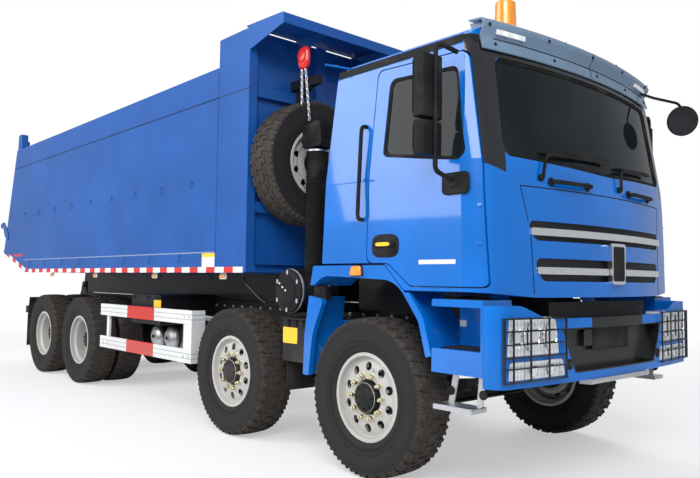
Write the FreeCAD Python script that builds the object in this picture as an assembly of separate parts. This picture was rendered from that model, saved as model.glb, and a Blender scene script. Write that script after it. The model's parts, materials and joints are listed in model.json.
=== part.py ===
"""Four-axle dump truck: cab over the engine, steered twin front axles, driven tandem, rear-tipping bed.

Millimetres. +X is forward, +Y is the truck's left, +Z is up and the tyres stand on Z = 0.
Everything is laid out from the first axle; AXLE_1_X then moves the whole truck so that the
origin lies under the middle of its length.  Each sub-part is written to parts/NAME.step.
"""
import FreeCAD
import Part

import math
import os

# ---- driving dimensions -------------------------------------------------------------------
AXLE_1_X = 3615.0
AXLE_SPACING = (1700.0, 3700.0, 1300.0)
BODY_HALF_WIDTH = 1250.0
GAP = 6.0                       # between pieces that move past each other
SEAM = 8.0                      # between body panels
FIT = 0.05                      # radial running clearance of pins and bearings

TYRE_RADIUS = 540.0
TYRE_WIDTH = 310.0
RIM_RADIUS = 286.0              # where the tyre's bead sits
RIM_FLANGE_RADIUS = 302.0
RIM_HALF_WIDTH = 124.0
STEER_WHEEL_Y = 1100.0
DUAL_OUTER_Y = 1000.0
DUAL_SPACING = 344.0
SPRING_SEAT = 498.0             # flat of the steering beams under the leaf packs
HAND_HOLES = 10
CAB_STEP_FOOT = 780.0
HAND_HOLE_RADIUS = 29.0
HAND_HOLE_CIRCLE = 208.0
NUTS = 10
NUT_CIRCLE = 167.5
KINGPIN_Y = 925.0
KINGPIN_RADIUS = 26.0
PINION_REACH = 260.0
AXLE_TUBE_RADIUS = 72.0
SPINDLE_RADIUS = 42.0

FRAME_TOP = 1100.0
FRAME_DEPTH = 290.0
FRAME_WALL = 9.0
FRAME_FLANGE = 85.0
FRAME_HALF_WIDTH = 430.0
FRAME_FRONT = 900.0
FRAME_REAR = -7230.0

CAB_WALL = 32.0
CAB_REAR = -420.0
CAB_FLOOR = 1450.0
CAB_NOSE_BOTTOM = 1240.0
CAB_ROOF = 3040.0
CAB_BELT_Z = 2050.0
CAB_PIVOT = (945.0, 850.0)      # tilt tube across the frame's front
CAB_ARM_Y = 674.0
CAB_ARM = 20.0
TILT_TUBE_RADIUS = 30.0
PLAN_MARGIN = 4.0               # the plan sections stand this far outside the trimmed sides
# height, furthest forward point, and where the bow meets the front corners
NOSE_LEVELS = ((1180.0, 1168.0, 1022.0), (1600.0, 1158.0, 1016.0), (1910.0, 1136.0, 1006.0),
               (2070.0, 1120.0, 994.0), (2765.0, 999.0, 878.0), (3080.0, 900.0, 790.0))
SCREEN_BOTTOM = 2070.0
SCREEN_TOP = 2740.0
GLASS = 6.0
FLOOR_DROP = 300.0              # lowers a cutter's floor so that it leaves the cab's floor whole
SEAL_GAP = 0.3
LATCH_Z = (1500.0, 1780.0)
LATCH_X = (-40.0, 100.0)
DOOR_REAR = 65.0
DOOR_FRONT = 985.0
DOOR_TOP = 2780.0
DOOR_BOTTOM = 1302.0

BED_FRONT = -1460.0
BED_PILLAR = 490.0              # length of the front pillar along the side
BED_TAIL_KINK = -7200.0
BED_TAIL_TIP = -8270.0
BED_TAIL_RISE = 300.0
BED_BOTTOM = 1390.0
BED_SIDE_TOP = 3240.0
BED_RAIL = 270.0
BED_PILLAR_TOP = 3490.0
BED_PLATE = 8.0
BED_HALF_INSIDE = 1150.0
BED_FLOOR = 1470.0
BED_HINGE = (-7100.0, 1200.0)
BED_PIN_RADIUS = 32.0
CANOPY_FRONT = -985.0
CANOPY_TOP = 3514.0
GATE_HINGE = (-7690.0, 3350.0)
GATE_PIN_RADIUS = 20.0

HOIST_BASE = (-1200.0, 1165.0)      # cross-pin on the chassis
HOIST_TRUNNION = (-1200.0, 1700.0)  # where the bed carries the widest tube
HOIST_ROD_RADIUS = 49.0             # slimmest tube, which stands on the chassis
HOIST_STAGES = 4
HOIST_STEP = 14.0                   # radius gained from one tube to the next
HOIST_WALL = 6.0
HOIST_EYE_RADIUS = 60.0
HOIST_CLOSED = 1735.0               # from the cross-pin to the top of the widest tube
HOIST_LIP = 34.0                    # each tube starts this far above the one inside it
HOIST_COLLAR = (26.0, 8.0)          # height and depth of the gland ring at a tube's mouth
HOIST_PIN_RADIUS = 34.0
HOIST_EAR = 24.0
HOIST_SLOT = (-37.0, -83.0, 70.0, 93.0)  # low and high side of the long holes round the pins
HOIST_GUIDE_GAP = 0.3

SPARE_CENTRE = (-1250.0, -745.0, 2330.0)

BUMPER_REAR = 1004.0
BUMPER_NOSE = 1192.0
BUMPER_WALL = 28.0
BUMPER_TOP = 1112.0
BUMPER_BOTTOM = 722.0
GUARD_FRONT = -2336.0
GUARD_REAR = -4430.0
VISOR_HALF_WIDTH = 1110.0
VISOR_SETBACK = 118.0
VISOR_NOSE = 1048.0
BEACON_BASE = (726.0, -640.0, 3030.0)
FRONT_MIRROR = (1105.0, 1278.0, 2669.0)
FRONT_MIRROR_RADIUS = 124.0
FRONT_MIRROR_TILT = 16.0        # its glass looks down by this many degrees
FRONT_MIRROR_TURN = 38.7        # and forwards from the truck's right by this many
MIRROR_PLACE = (720.0, 1410.0)
MIRROR_FOOT_X = 800.0

PLANES = {
    "XZ": (lambda a, b, c: FreeCAD.Vector(a, c, b), FreeCAD.Vector(0, 1, 0)),
    "YZ": (lambda a, b, c: FreeCAD.Vector(c, a, b), FreeCAD.Vector(1, 0, 0)),
    "XY": (lambda a, b, c: FreeCAD.Vector(a, b, c), FreeCAD.Vector(0, 0, 1)),
}


# ---- shape helpers --------------------------------------------------------------------------
def vec(x, y, z):
    return FreeCAD.Vector(x, y, z)


def corner_cut(before, corner, after, radius):
    """Start, middle and end of the arc that rounds a corner, or None for a sharp one."""
    one = before - corner
    two = after - corner
    turn = math.pi - one.getAngle(two)
    if radius <= 0 or turn < 0.01:
        return None
    reach = radius * math.tan(turn / 2)
    reach = min(reach, 0.49 * one.Length, 0.49 * two.Length)
    real = reach / math.tan(turn / 2)
    one.normalize()
    two.normalize()
    inward = one + two
    inward.normalize()
    middle = corner + inward * (real / math.cos(turn / 2) - real)
    return corner + one * reach, middle, corner + two * reach


def rounded_wire(points, radii, closed):
    """A wire through the points whose corners are tangent arcs."""
    count = len(points)
    cuts = []
    for i, corner in enumerate(points):
        if not closed and i in (0, count - 1):
            cuts.append(None)
            continue
        cuts.append(corner_cut(points[i - 1], corner, points[(i + 1) % count], radii[i]))
    edges = []
    last = count if closed else count - 1
    for i in range(last):
        j = (i + 1) % count
        start = cuts[i][2] if cuts[i] else points[i]
        end = cuts[j][0] if cuts[j] else points[j]
        if (end - start).Length > 0.001:
            edges.append(Part.makeLine(start, end))
        if cuts[j] and (closed or j < count - 1):
            edges.append(Part.Arc(*cuts[j]).toShape())
    return Part.Wire(edges)


def split_radii(points, radius):
    """Corner radii: a third number in a point, or the common radius."""
    return [p[2] if len(p) > 2 else radius for p in points]


def profile(points, plane, low, high, radius=0.0):
    """A closed outline with rounded corners, extruded from low to high across its plane."""
    place, normal = PLANES[plane]
    wire = rounded_wire([place(p[0], p[1], low) for p in points], split_radii(points, radius), True)
    return Part.Face(wire).extrude(normal * (high - low))


def strip(points, plane, low, high, thickness, radius=0.0):
    """A folded sheet: an open line given a thickness to its left (or right if negative), extruded."""
    if thickness < 0:
        points = points[::-1]
        thickness = -thickness
    base = [FreeCAD.Vector(p[0], p[1], 0) for p in points]
    radii = split_radii(points, radius)
    near = []
    far = []
    for i, here in enumerate(base):
        ahead = (base[i + 1] - here).normalize() if i < len(base) - 1 else None
        behind = (here - base[i - 1]).normalize() if i else None
        first = behind or ahead
        second = ahead or behind
        left = vec(-first.y, first.x, 0) + vec(-second.y, second.x, 0)
        left.normalize()
        stretch = thickness / left.dot(vec(-first.y, first.x, 0))
        bend = first.x * second.y - first.y * second.x
        near.append((here.x, here.y, radii[i] + (thickness if bend > 0 else 0)))
        outer = here + left * stretch
        far.append((outer.x, outer.y, radii[i] + (thickness if bend < 0 else 0)))
    return profile(near + far[::-1], plane, low, high)


def block(x0, x1, y0, y1, z0, z1):
    return Part.makeBox(x1 - x0, y1 - y0, z1 - z0, vec(x0, y0, z0))


def rod(start, end, radius):
    """A round bar between two points."""
    a = FreeCAD.Vector(*start)
    b = FreeCAD.Vector(*end)
    return Part.makeCylinder(radius, (b - a).Length, a, b - a)


def ring(start, end, outer, inner):
    return rod(start, end, outer).cut(rod(start, end, inner))


def pipe(points, radius, bend):
    """A bent tube, solid inside, along straight runs joined by tangent arcs."""
    places = [FreeCAD.Vector(*p) for p in points]
    path = rounded_wire(places, [bend] * len(places), False)
    circle = Part.Wire(Part.makeCircle(radius, places[0], places[1] - places[0]))
    return path.makePipeShell([circle], True, True)


def turned(points, centre, axis="Y", radius=0.0):
    """A closed (along, outward) outline revolved about an axis through the centre."""
    flat = [vec(p[0], p[1], 0) for p in points]
    solid = Part.Face(rounded_wire(flat, split_radii(points, radius), True)).revolve(
        vec(0, 0, 0), vec(1, 0, 0), 360)
    turn = {"X": (vec(0, 0, 1), 0), "Y": (vec(0, 0, 1), 90), "Z": (vec(0, 1, 0), -90)}[axis]
    solid.rotate(vec(0, 0, 0), turn[0], turn[1])
    solid.translate(FreeCAD.Vector(*centre))
    return solid


def fused(shapes):
    whole = shapes[0]
    if len(shapes) > 1:
        whole = whole.multiFuse(shapes[1:])
    return whole.removeSplitter()


def mirrored(shape):
    return shape.mirror(vec(0, 0, 0), vec(0, 1, 0))


def both_sides(shape):
    return [shape, mirrored(shape)]


def around(shape, centre, axis, count):
    """Copies of a shape at equal turns about an axis."""
    copies = []
    for i in range(count):
        copy = shape.copy()
        copy.rotate(FreeCAD.Vector(*centre), axis, 360.0 * i / count)
        copies.append(copy)
    return copies


def axle_x(number):
    return -sum(AXLE_SPACING[:number - 1])


# ---- wheels ---------------------------------------------------------------------------------
def tyre(x, y, z=TYRE_RADIUS, axis="Y"):
    """Tyre section: flat tread, rounded shoulders, bulged walls, beads on the rim."""
    half = TYRE_WIDTH / 2
    bead = RIM_HALF_WIDTH - 8
    section = [(-bead, RIM_RADIUS, 4), (-bead, RIM_FLANGE_RADIUS + 2), (-bead - 12, RIM_RADIUS + 36, 16),
               (-half, RIM_RADIUS + 110, 90),
               (-half + 8, TYRE_RADIUS - 55, 60), (-half + 24, TYRE_RADIUS, 26),
               (half - 24, TYRE_RADIUS, 26), (half - 8, TYRE_RADIUS - 55, 60),
               (half, RIM_RADIUS + 110, 90), (bead + 12, RIM_RADIUS + 36, 16),
               (bead, RIM_FLANGE_RADIUS + 2), (bead, RIM_RADIUS, 4),
               (bead - 22, RIM_RADIUS), (bead - 20, RIM_RADIUS + 40, 20),
               (half - 16, RIM_RADIUS + 110, 60), (half - 30, TYRE_RADIUS - 30, 30),
               (-half + 30, TYRE_RADIUS - 30, 30), (-half + 16, RIM_RADIUS + 110, 60),
               (-bead + 20, RIM_RADIUS + 40, 20), (-bead + 22, RIM_RADIUS)]
    return turned(section, (x, y, z), axis)


def rim_barrel(side):
    """Rolled rim: flanges, bead seats and drop centre; side +1 has its valve wall outboard."""
    h = RIM_HALF_WIDTH
    r = RIM_RADIUS
    outer = [(-h, RIM_FLANGE_RADIUS, 4), (-h + 8, RIM_FLANGE_RADIUS, 4), (-h + 8, r, 4),
             (-h + 34, r, 8), (-h + 60, r - 26, 12), (h - 60, r - 26, 12), (h - 34, r, 8),
             (h - 8, r, 4), (h - 8, RIM_FLANGE_RADIUS, 4), (h, RIM_FLANGE_RADIUS, 4)]
    inner = [(h, r - 10, 4), (h - 40, r - 12, 8), (h - 66, r - 36, 12), (-h + 66, r - 36, 12),
             (-h + 40, r - 12, 8), (-h, r - 10, 4)]
    return [(side * a, b, c) for a, b, c in outer + inner]


def disc_holes(x, y, z, depth, axis):
    """Hand holes for cutting the wheel disc."""
    hole = rod((x, y - depth, z + HAND_HOLE_CIRCLE), (x, y + depth, z + HAND_HOLE_CIRCLE),
               HAND_HOLE_RADIUS)
    return around(hole, (x, y, z), axis, HAND_HOLES)


def wheel_nuts(x, y, z, out, length):
    nut = rod((x, y, z + NUT_CIRCLE), (x, y + out * length, z + NUT_CIRCLE), 16)
    return around(nut, (x, y, z), vec(0, 1, 0), NUTS)


def steer_wheel(x):
    """Left front wheel: convex disc near the outer flange, hub, cap and brake drum."""
    y = STEER_WHEEL_Y
    z = TYRE_RADIUS
    rim = turned(rim_barrel(1), (x, y, z))
    disc = turned([(34, 254), (44, 254, 10), (70, 236, 20), (78, 205, 20), (62, 180, 10),
                   (62, 118), (52, 118), (52, 184, 10), (66, 208, 20), (60, 230, 20),
                   (34, 244, 6)], (x, y, z))
    disc = disc.cut(Part.Compound(disc_holes(x, y + 60, z, 60, vec(0, 1, 0))))
    hub = turned([(-46, 200), (52, 200, 6), (52, 120), (70, 120), (70, 112, 4), (132, 100, 12),
                  (140, 88, 8), (140, SPINDLE_RADIUS - 20, 0), (128, SPINDLE_RADIUS - 20),
                  (128, SPINDLE_RADIUS + FIT), (-46, SPINDLE_RADIUS + FIT)], (x, y, z))
    lip = turned([(-60, 200, 0), (-46, 200), (-46, 170), (-60, 170)], (x, y, z))
    nuts = wheel_nuts(x, y + 50, z, 1, 34)
    return fused([rim, disc, hub, lip] + nuts)


def dual_wheels(x):
    """Left rear pair: deep outer dish, discs back to back on one hub."""
    z = TYRE_RADIUS
    outer_y = DUAL_OUTER_Y
    middle = outer_y - DUAL_SPACING / 2
    inner_y = outer_y - DUAL_SPACING
    outer = turned(rim_barrel(1), (x, outer_y, z))
    inner = turned(rim_barrel(1), (x, inner_y, z))
    reach = DUAL_SPACING / 2 - 34
    dish = [(reach, 252), (reach - 12, 244, 8), (reach - 50, 232, 40), (24, 205, 30), (10, 180, 12),
            (10, 118), (0, 118), (0, 186, 12), (14, 212, 30), (reach - 56, 240, 40),
            (reach - 18, 253, 6)]
    discs = []
    for side in (1, -1):
        disc = turned([(side * a, b, *c) for a, b, *c in dish], (x, middle, z))
        discs.append(disc.cut(Part.Compound(disc_holes(x, middle, z, 120, vec(0, 1, 0)))))
    hub = turned([(-150, 200), (-10, 200), (-10, 118), (10, 118), (10, 128, 6), (120, 104, 16),
                  (190, 92, 10), (196, 70, 10), (196, 0), (184, 0), (184, 62 + FIT),
                  (-150, 62 + FIT)], (x, middle, z))
    nuts = wheel_nuts(x, middle + 8, z, 1, 36)
    return fused([outer, inner, hub] + discs + nuts)


def knuckle(x):
    """Left steering knuckle: fork round the beam's eye, kingpin and spindle."""
    y = KINGPIN_Y
    z = TYRE_RADIUS
    pin = rod((x, y, z - 118), (x, y, z + 118), KINGPIN_RADIUS)
    upper = profile([(x - 45, y - 45), (x + 45, y - 45), (x + 45, y + 95), (x - 45, y + 95)],
                    "XY", z + 76, z + 116, 40)
    lower = upper.copy()
    lower.translate(vec(0, 0, -192))
    web = block(x - 48, x + 48, y + 66, y + 96, z - 116, z + 116)
    spindle = rod((x, y + 90, z), (x, STEER_WHEEL_Y + 120, z), SPINDLE_RADIUS)
    shield = rod((x, y + 92, z), (x, y + 100, z), 150)
    arm = strip([(x - 20, y + 20), (x - 150, y - 30)], "XY", z - 116, z - 86, 40)
    return fused([pin, upper, lower, web, spindle, shield, arm])


# ---- chassis --------------------------------------------------------------------------------
def chassis_frame():
    """Two channel rails, tubular and box cross-members, hinge and hoist brackets, one weldment."""
    z0 = FRAME_TOP - FRAME_DEPTH
    outer = FRAME_HALF_WIDTH
    inner = outer - FRAME_FLANGE
    channel = [(inner, FRAME_TOP), (outer, FRAME_TOP), (outer, z0), (inner, z0),
               (inner, z0 + FRAME_WALL), (outer - FRAME_WALL, z0 + FRAME_WALL),
               (outer - FRAME_WALL, FRAME_TOP - FRAME_WALL), (inner, FRAME_TOP - FRAME_WALL)]
    rail = profile(channel, "YZ", FRAME_REAR, FRAME_FRONT)
    pieces = both_sides(rail)
    web = outer - FRAME_WALL / 2
    for x in (FRAME_FRONT - 62, -2350, -3500, -4700, -6050, FRAME_REAR + 60):
        pieces.append(rod((x, -web, FRAME_TOP - FRAME_DEPTH / 2), (x, web, FRAME_TOP - FRAME_DEPTH / 2),
                          55))
    pieces += hinge_brackets() + hoist_cradle() + cab_pivots() + [rear_bar()]
    return fused(pieces)


def hinge_brackets():
    """Ears on the frame's tail and the bed's hinge pin through them."""
    x, z = BED_HINGE
    pieces = []
    for y in (FRAME_HALF_WIDTH - 24, FRAME_HALF_WIDTH - 104):
        ear = profile([(x - 110, FRAME_TOP - 4), (x - 60, z + 66, 50), (x + 60, z + 66, 50),
                       (x + 110, FRAME_TOP - 4)], "XZ", y, y + 24)
        pieces += both_sides(ear)
    pin = rod((x, FRAME_HALF_WIDTH - 110, z), (x, FRAME_HALF_WIDTH + 12, z), BED_PIN_RADIUS)
    return pieces + both_sides(pin)


def cab_pivots():
    """Tube across the frame's front on two plates; the cab's arms turn on its ends."""
    x, z = CAB_PIVOT
    reach = CAB_ARM_Y + CAB_ARM / 2 + 8
    tube = rod((x, -reach, z), (x, reach, z), TILT_TUBE_RADIUS - FIT)
    low = FRAME_TOP - FRAME_DEPTH + 5
    plate = profile([(x - 150, low), (x - 150, FRAME_TOP - 20), (FRAME_FRONT - 10, FRAME_TOP - 20),
                     (FRAME_FRONT - 5, z + 44), (x + 46, z + 44, 30), (x + 46, low, 20)], "XZ",
                    FRAME_HALF_WIDTH - FRAME_WALL - 16, FRAME_HALF_WIDTH - FRAME_WALL / 2)
    return [tube] + both_sides(plate)


def cab_arms():
    """Arms that lean back from the tilt tube up to the cab's floor."""
    x, z = CAB_PIVOT
    top = CAB_NOSE_BOTTOM + CAB_WALL / 2
    arm = profile([(x + 42, z - 42, 42), (x - 42, z - 42, 42), (x - 330, top), (x - 190, top),
                   (x + 42, z + 30, 42)], "XZ", CAB_ARM_Y - CAB_ARM / 2, CAB_ARM_Y + CAB_ARM / 2)
    bore = rod((x, 0, z), (x, BODY_HALF_WIDTH, z), TILT_TUBE_RADIUS)
    return both_sides(arm.cut(bore))


def hoist_cradle():
    """Cross-beam under the lift cylinder, with two ears and the cross-pin between them."""
    x, z = HOIST_BASE
    web = FRAME_HALF_WIDTH - FRAME_WALL / 2
    low = z - HOIST_EYE_RADIUS - GAP
    beam = block(x - 70, x + 70, -web, web, low - 50, low)
    near = HOIST_ROD_RADIUS + GAP
    ear = profile([(x - 70, low - 10), (x - 45, z + 50, 40), (x + 45, z + 50, 40), (x + 70, low - 10)],
                  "XZ", near, near + HOIST_EAR)
    reach = near + HOIST_EAR + 8
    return [beam] + both_sides(ear) + [rod((x, -reach, z), (x, reach, z), HOIST_PIN_RADIUS - FIT)]


def axles():
    """Two drop-centre steering beams and two driven housings with their final drives."""
    solids = []
    for number in (1, 2):
        solids.append(steer_beam(axle_x(number)))
    for number in (3, 4):
        solids.append(drive_axle(axle_x(number)))
    return Part.Compound(solids)


def steer_beam(x):
    z = TYRE_RADIUS
    y = KINGPIN_Y
    flat = SPRING_SEAT - 20
    path = [(-y, z + 20), (-y + 170, z + 20, 120), (-500, flat, 120), (500, flat, 120),
            (y - 170, z + 20, 120), (y, z + 20)]
    beam = strip(path, "YZ", x - 50, x + 50, -90, 120)
    beam.translate(vec(0, 0, 20))
    waist = strip(path, "YZ", x - 60, x - 14, -60, 120)
    waist.translate(vec(0, 0, 5))
    other = waist.copy()
    other.translate(vec(74, 0, 0))
    beam = beam.cut(Part.Compound([waist, other]))
    eye = rod((x, y, z - 70), (x, y, z + 70), 52)
    beam = fused([beam] + both_sides(eye))
    clear = rod((x, y, z - 120), (x, y, z + 120), KINGPIN_RADIUS + FIT)
    return beam.cut(Part.Compound(both_sides(clear)))


def drive_axle(x):
    """Banjo housing with arms that reach into the hubs."""
    z = TYRE_RADIUS
    end = DUAL_OUTER_Y - DUAL_SPACING / 2 + 170
    half = [(0, 190, 60), (0, 190), (150, 175, 60), (310, AXLE_TUBE_RADIUS, 80), (500, AXLE_TUBE_RADIUS),
            (end - 340, 62), (end, 62), (end, 0), (0, 0)]
    arm = turned([(p[0], p[1], *p[2:]) for p in half[1:]], (x, 0, z))
    bowl = rod((x, 0, z), (x + PINION_REACH, 0, z + 30), 120)
    return fused(both_sides(arm) + [bowl])


def springs():
    """Leaf packs: one each side of each steering axle, one inverted pack each side of the tandem."""
    solids = []
    for number in (1, 2):
        x = axle_x(number)
        solids += both_sides(leaf_pack(x, FRAME_HALF_WIDTH - 43, SPRING_SEAT + 12, 150, 590, 5))
    middle = (axle_x(3) + axle_x(4)) / 2
    solids += both_sides(tandem_pack(middle))
    return Part.Compound(solids)


def leaf_pack(x, y, z, sag, half, leaves):
    """Arched leaves, each shorter than the one above, clamped on the axle and hung on the frame."""
    pieces = []
    base = z
    for i in range(leaves):
        reach = half * (1 - 0.16 * i)
        rise = sag * (reach / half) ** 2
        low = base + (leaves - 1 - i) * 16
        points = [(x - reach, low + rise), (x - reach / 2, low + rise / 4, 600), (x, low, 900),
                  (x + reach / 2, low + rise / 4, 600), (x + reach, low + rise)]
        pieces.append(strip(points, "XZ", y - 40, y + 40, 17, 600))
    clamp = block(x - 60, x + 60, y - 46, y + 46, base - 12, base + leaves * 16 + 22)
    pieces.append(clamp)
    top = base + (leaves - 1) * 16 + sag
    for end in (-1, 1):
        hanger = profile([(x + end * half - 40, FRAME_TOP - FRAME_DEPTH),
                          (x + end * half + 40, FRAME_TOP - FRAME_DEPTH),
                          (x + end * half + 26, top - 14, 20), (x + end * half - 26, top - 14, 20)],
                         "XZ", y - 42, y + 42)
        pieces.append(hanger)
    return fused(pieces)


def tandem_pack(x):
    """Inverted pack between the two driven axles, on a central trunnion."""
    y = FRAME_HALF_WIDTH - 43
    z = TYRE_RADIUS + 84
    half = AXLE_SPACING[2] / 2 + 40
    pieces = []
    for i in range(6):
        reach = half * (1 - 0.12 * i)
        low = z + i * 19
        pieces.append(strip([(x - reach, low), (x - reach / 2, low + 26, 500), (x, low + 34, 900),
                             (x + reach / 2, low + 26, 500), (x + reach, low)],
                            "XZ", y - 40, y + 40, 20, 500))
    saddle = profile([(x - 110, z + 20), (x - 140, FRAME_TOP - FRAME_DEPTH),
                      (x + 140, FRAME_TOP - FRAME_DEPTH), (x + 110, z + 20)], "XZ", y - 48, y + 42)
    pieces.append(saddle)
    for end in (-1, 1):
        pieces.append(block(x + end * AXLE_SPACING[2] / 2 - 55, x + end * AXLE_SPACING[2] / 2 + 55,
                            y - 45, y + 45, TYRE_RADIUS + AXLE_TUBE_RADIUS, z + 8))
    return fused(pieces)


def powertrain():
    """Engine as one plain block with gearbox and propeller shaft, and the radiator in front."""
    engine = profile([(-700, 720), (-700, 1225), (520, 1225), (520, 760), (200, 620), (-500, 620)],
                     "XZ", -300, 300, 40)
    gearbox = turned([(0, 0), (0, 210, 20), (-240, 190, 40), (-800, 105, 30), (-800, 0)],
                     (-690, 0, 860), "X")
    shaft = rod((-1480, 0, 850), (axle_x(3) + PINION_REACH + 8, 0, TYRE_RADIUS + 35), 45)
    radiator = block(640, 720, -330, 330, 720, 1215)
    ledge = block(600, 640, -(FRAME_HALF_WIDTH - FRAME_FLANGE), FRAME_HALF_WIDTH - FRAME_FLANGE, 830, 1180)
    return Part.Compound([fused([engine, gearbox, shaft]), radiator.fuse(ledge).removeSplitter()])


def nose_outline(inset, rear, nose, corner_x):
    """Plan section of the cab: straight sides, tight front corners and a bowed front."""
    half = BODY_HALF_WIDTH + PLAN_MARGIN - inset
    corner_y = half - 170
    side = vec(corner_x - 200, half, 0)
    corner = vec(corner_x, corner_y, 0)
    turn = vec(corner_x - 55, half - 65, 0)
    edges = [Part.makeLine(vec(rear, half, 0), side),
             Part.Arc(side, turn, corner).toShape(),
             Part.Arc(corner, vec(nose, 0, 0), vec(corner_x, -corner_y, 0)).toShape(),
             Part.Arc(vec(corner_x, -corner_y, 0), vec(turn.x, -turn.y, 0),
                      vec(side.x, -half, 0)).toShape(),
             Part.makeLine(vec(side.x, -half, 0), vec(rear, -half, 0)),
             Part.makeLine(vec(rear, -half, 0), vec(rear, half, 0))]
    return Part.Wire(edges)


# ---- cab ------------------------------------------------------------------------------------
def cab_volume(inset, floor_drop=0.0):
    """The cab's envelope, shrunk by an inset: side, front and plan outlines intersected."""
    floor = CAB_FLOOR + inset - floor_drop
    nose_low = CAB_NOSE_BOTTOM - 8 + inset - floor_drop
    side = [(CAB_REAR - 30 + inset, floor, 10), (CAB_REAR + inset, 2000, 400),
            (CAB_REAR + 60 + inset, CAB_ROOF - 40 - inset, 90),
            (CAB_REAR + 400, CAB_ROOF + 25 - inset, 500), (640, CAB_ROOF + 15 - inset, 200),
            (930 - inset, SCREEN_TOP + 180 - inset, 120), (1400, SCREEN_TOP + 100),
            (1400, nose_low), (420, nose_low, 90),
            (190, floor, 90)]
    body = profile(side, "XZ", -BODY_HALF_WIDTH - 50, BODY_HALF_WIDTH + 50)
    half = BODY_HALF_WIDTH - inset
    low = CAB_NOSE_BOTTOM + inset - floor_drop
    front = [(-820, low, 200), (-half, low + 32), (-half, CAB_BELT_Z, 900), (-half + 70, SCREEN_TOP + 120 - inset, 130),
             (-half + 330, CAB_ROOF - 40 - inset, 400), (0, CAB_ROOF + 10 - inset, 2500),
             (half - 330, CAB_ROOF - 40 - inset, 400), (half - 70, SCREEN_TOP + 120 - inset, 130),
             (half, CAB_BELT_Z, 900), (half, low + 32), (820, low, 200)]
    across = profile(front, "YZ", CAB_REAR - 100, 1500)
    sections = []
    for z, nose, corner_x in NOSE_LEVELS:
        wire = nose_outline(inset, CAB_REAR - 60 + inset, nose - inset, corner_x - inset)
        wire.translate(vec(0, 0, z - (floor_drop if z < CAB_FLOOR + 1 else 0)))
        sections.append(wire)
    plan = Part.makeLoft(sections, True, True)
    return body.common(across).common(plan)


def door_outline(grow):
    """Side outline of a door, grown by the seam."""
    g = grow
    return [(DOOR_REAR - 40 - g, CAB_FLOOR - g, 60), (DOOR_REAR - 20 - g, 2000, 300),
            (DOOR_REAR - g, DOOR_TOP + g, 50), (838 + g, DOOR_TOP - 30 + g, 60),
            (DOOR_FRONT - 36 + g, 2030, 200), (DOOR_FRONT + g, DOOR_BOTTOM - g, 30),
            (430, DOOR_BOTTOM - g, 90), (230, CAB_FLOOR - g, 90)]


def window_outline(grow):
    g = grow
    return [(160 - g, 2165 - g, 50), (185 - g, 2700 + g, 60), (775 + g, 2670 + g, 60),
            (875 + g, 2060 - g, 60), (640, 2090 - g, 200)]


def side_cut(points, side):
    """A cutter through one side of the cab only; it stops short of the seats' middle."""
    if side > 0:
        return profile(points, "XZ", 900, BODY_HALF_WIDTH + 80)
    return profile(points, "XZ", -BODY_HALF_WIDTH - 80, -900)


def screen_outline(grow):
    g = grow
    return [(-1035 - g, SCREEN_BOTTOM + 30 - g, 60), (-1000 - g, SCREEN_TOP + g, 70),
            (1000 + g, SCREEN_TOP + g, 70), (1035 + g, SCREEN_BOTTOM + 30 - g, 60),
            (0, SCREEN_BOTTOM - 10 - g, 3000)]


def grille_slots():
    """Two long openings across the nose, each tapering to its ends."""
    slots = []
    for top, bottom, half_top, half_bottom in ((1712, 1590, 900, 815), (1482, 1340, 845, 765)):
        slots.append(profile([(-half_top, top, 40), (half_top, top, 40), (half_bottom, bottom, 50),
                              (-half_bottom, bottom, 50)], "YZ", 980, 1300))
    return slots


def cab_shell(outer, inner, core):
    """Welded cab: hollow, with door openings, windscreen, rear window, grille and footwells cut."""
    shell = outer.cut(inner)
    cuts = [side_cut(door_outline(SEAM), side).cut(core) for side in (1, -1)]
    cuts.append(profile(screen_outline(0), "YZ", 860, 1300))
    cuts.append(profile([(-620, 2230), (620, 2230), (620, 2680), (-620, 2680)], "YZ",
                        CAB_REAR - 100, CAB_REAR + 160, 60))
    cuts += grille_slots()
    shell = shell.cut(Part.Compound(cuts))
    tunnel = strip([(-360, CAB_FLOOR + 10), (-300, CAB_FLOOR + 250, 60), (300, CAB_FLOOR + 250, 60),
                    (360, CAB_FLOOR + 10)], "YZ", CAB_REAR + 20, 700, 16)
    dash = profile([(1100, 2040), (1000, 2050, 60), (720, 2010, 60), (640, 1900, 60),
                    (700, 1700, 80), (860, 1560, 60), (900, CAB_NOSE_BOTTOM + 60), (1100, 1300)], "XZ",
                   -1000, 1000)
    return shell, tunnel, dash.common(cab_volume(CAB_WALL + 0.3))


def latch_plates(lining):
    """Latch plates on the rear door posts; the closed doors' inner faces rest against them."""
    plates = []
    for z in LATCH_Z:
        plates += both_sides(lining.common(block(*LATCH_X, 950, BODY_HALF_WIDTH, z, z + 90)))
    return plates


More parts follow.
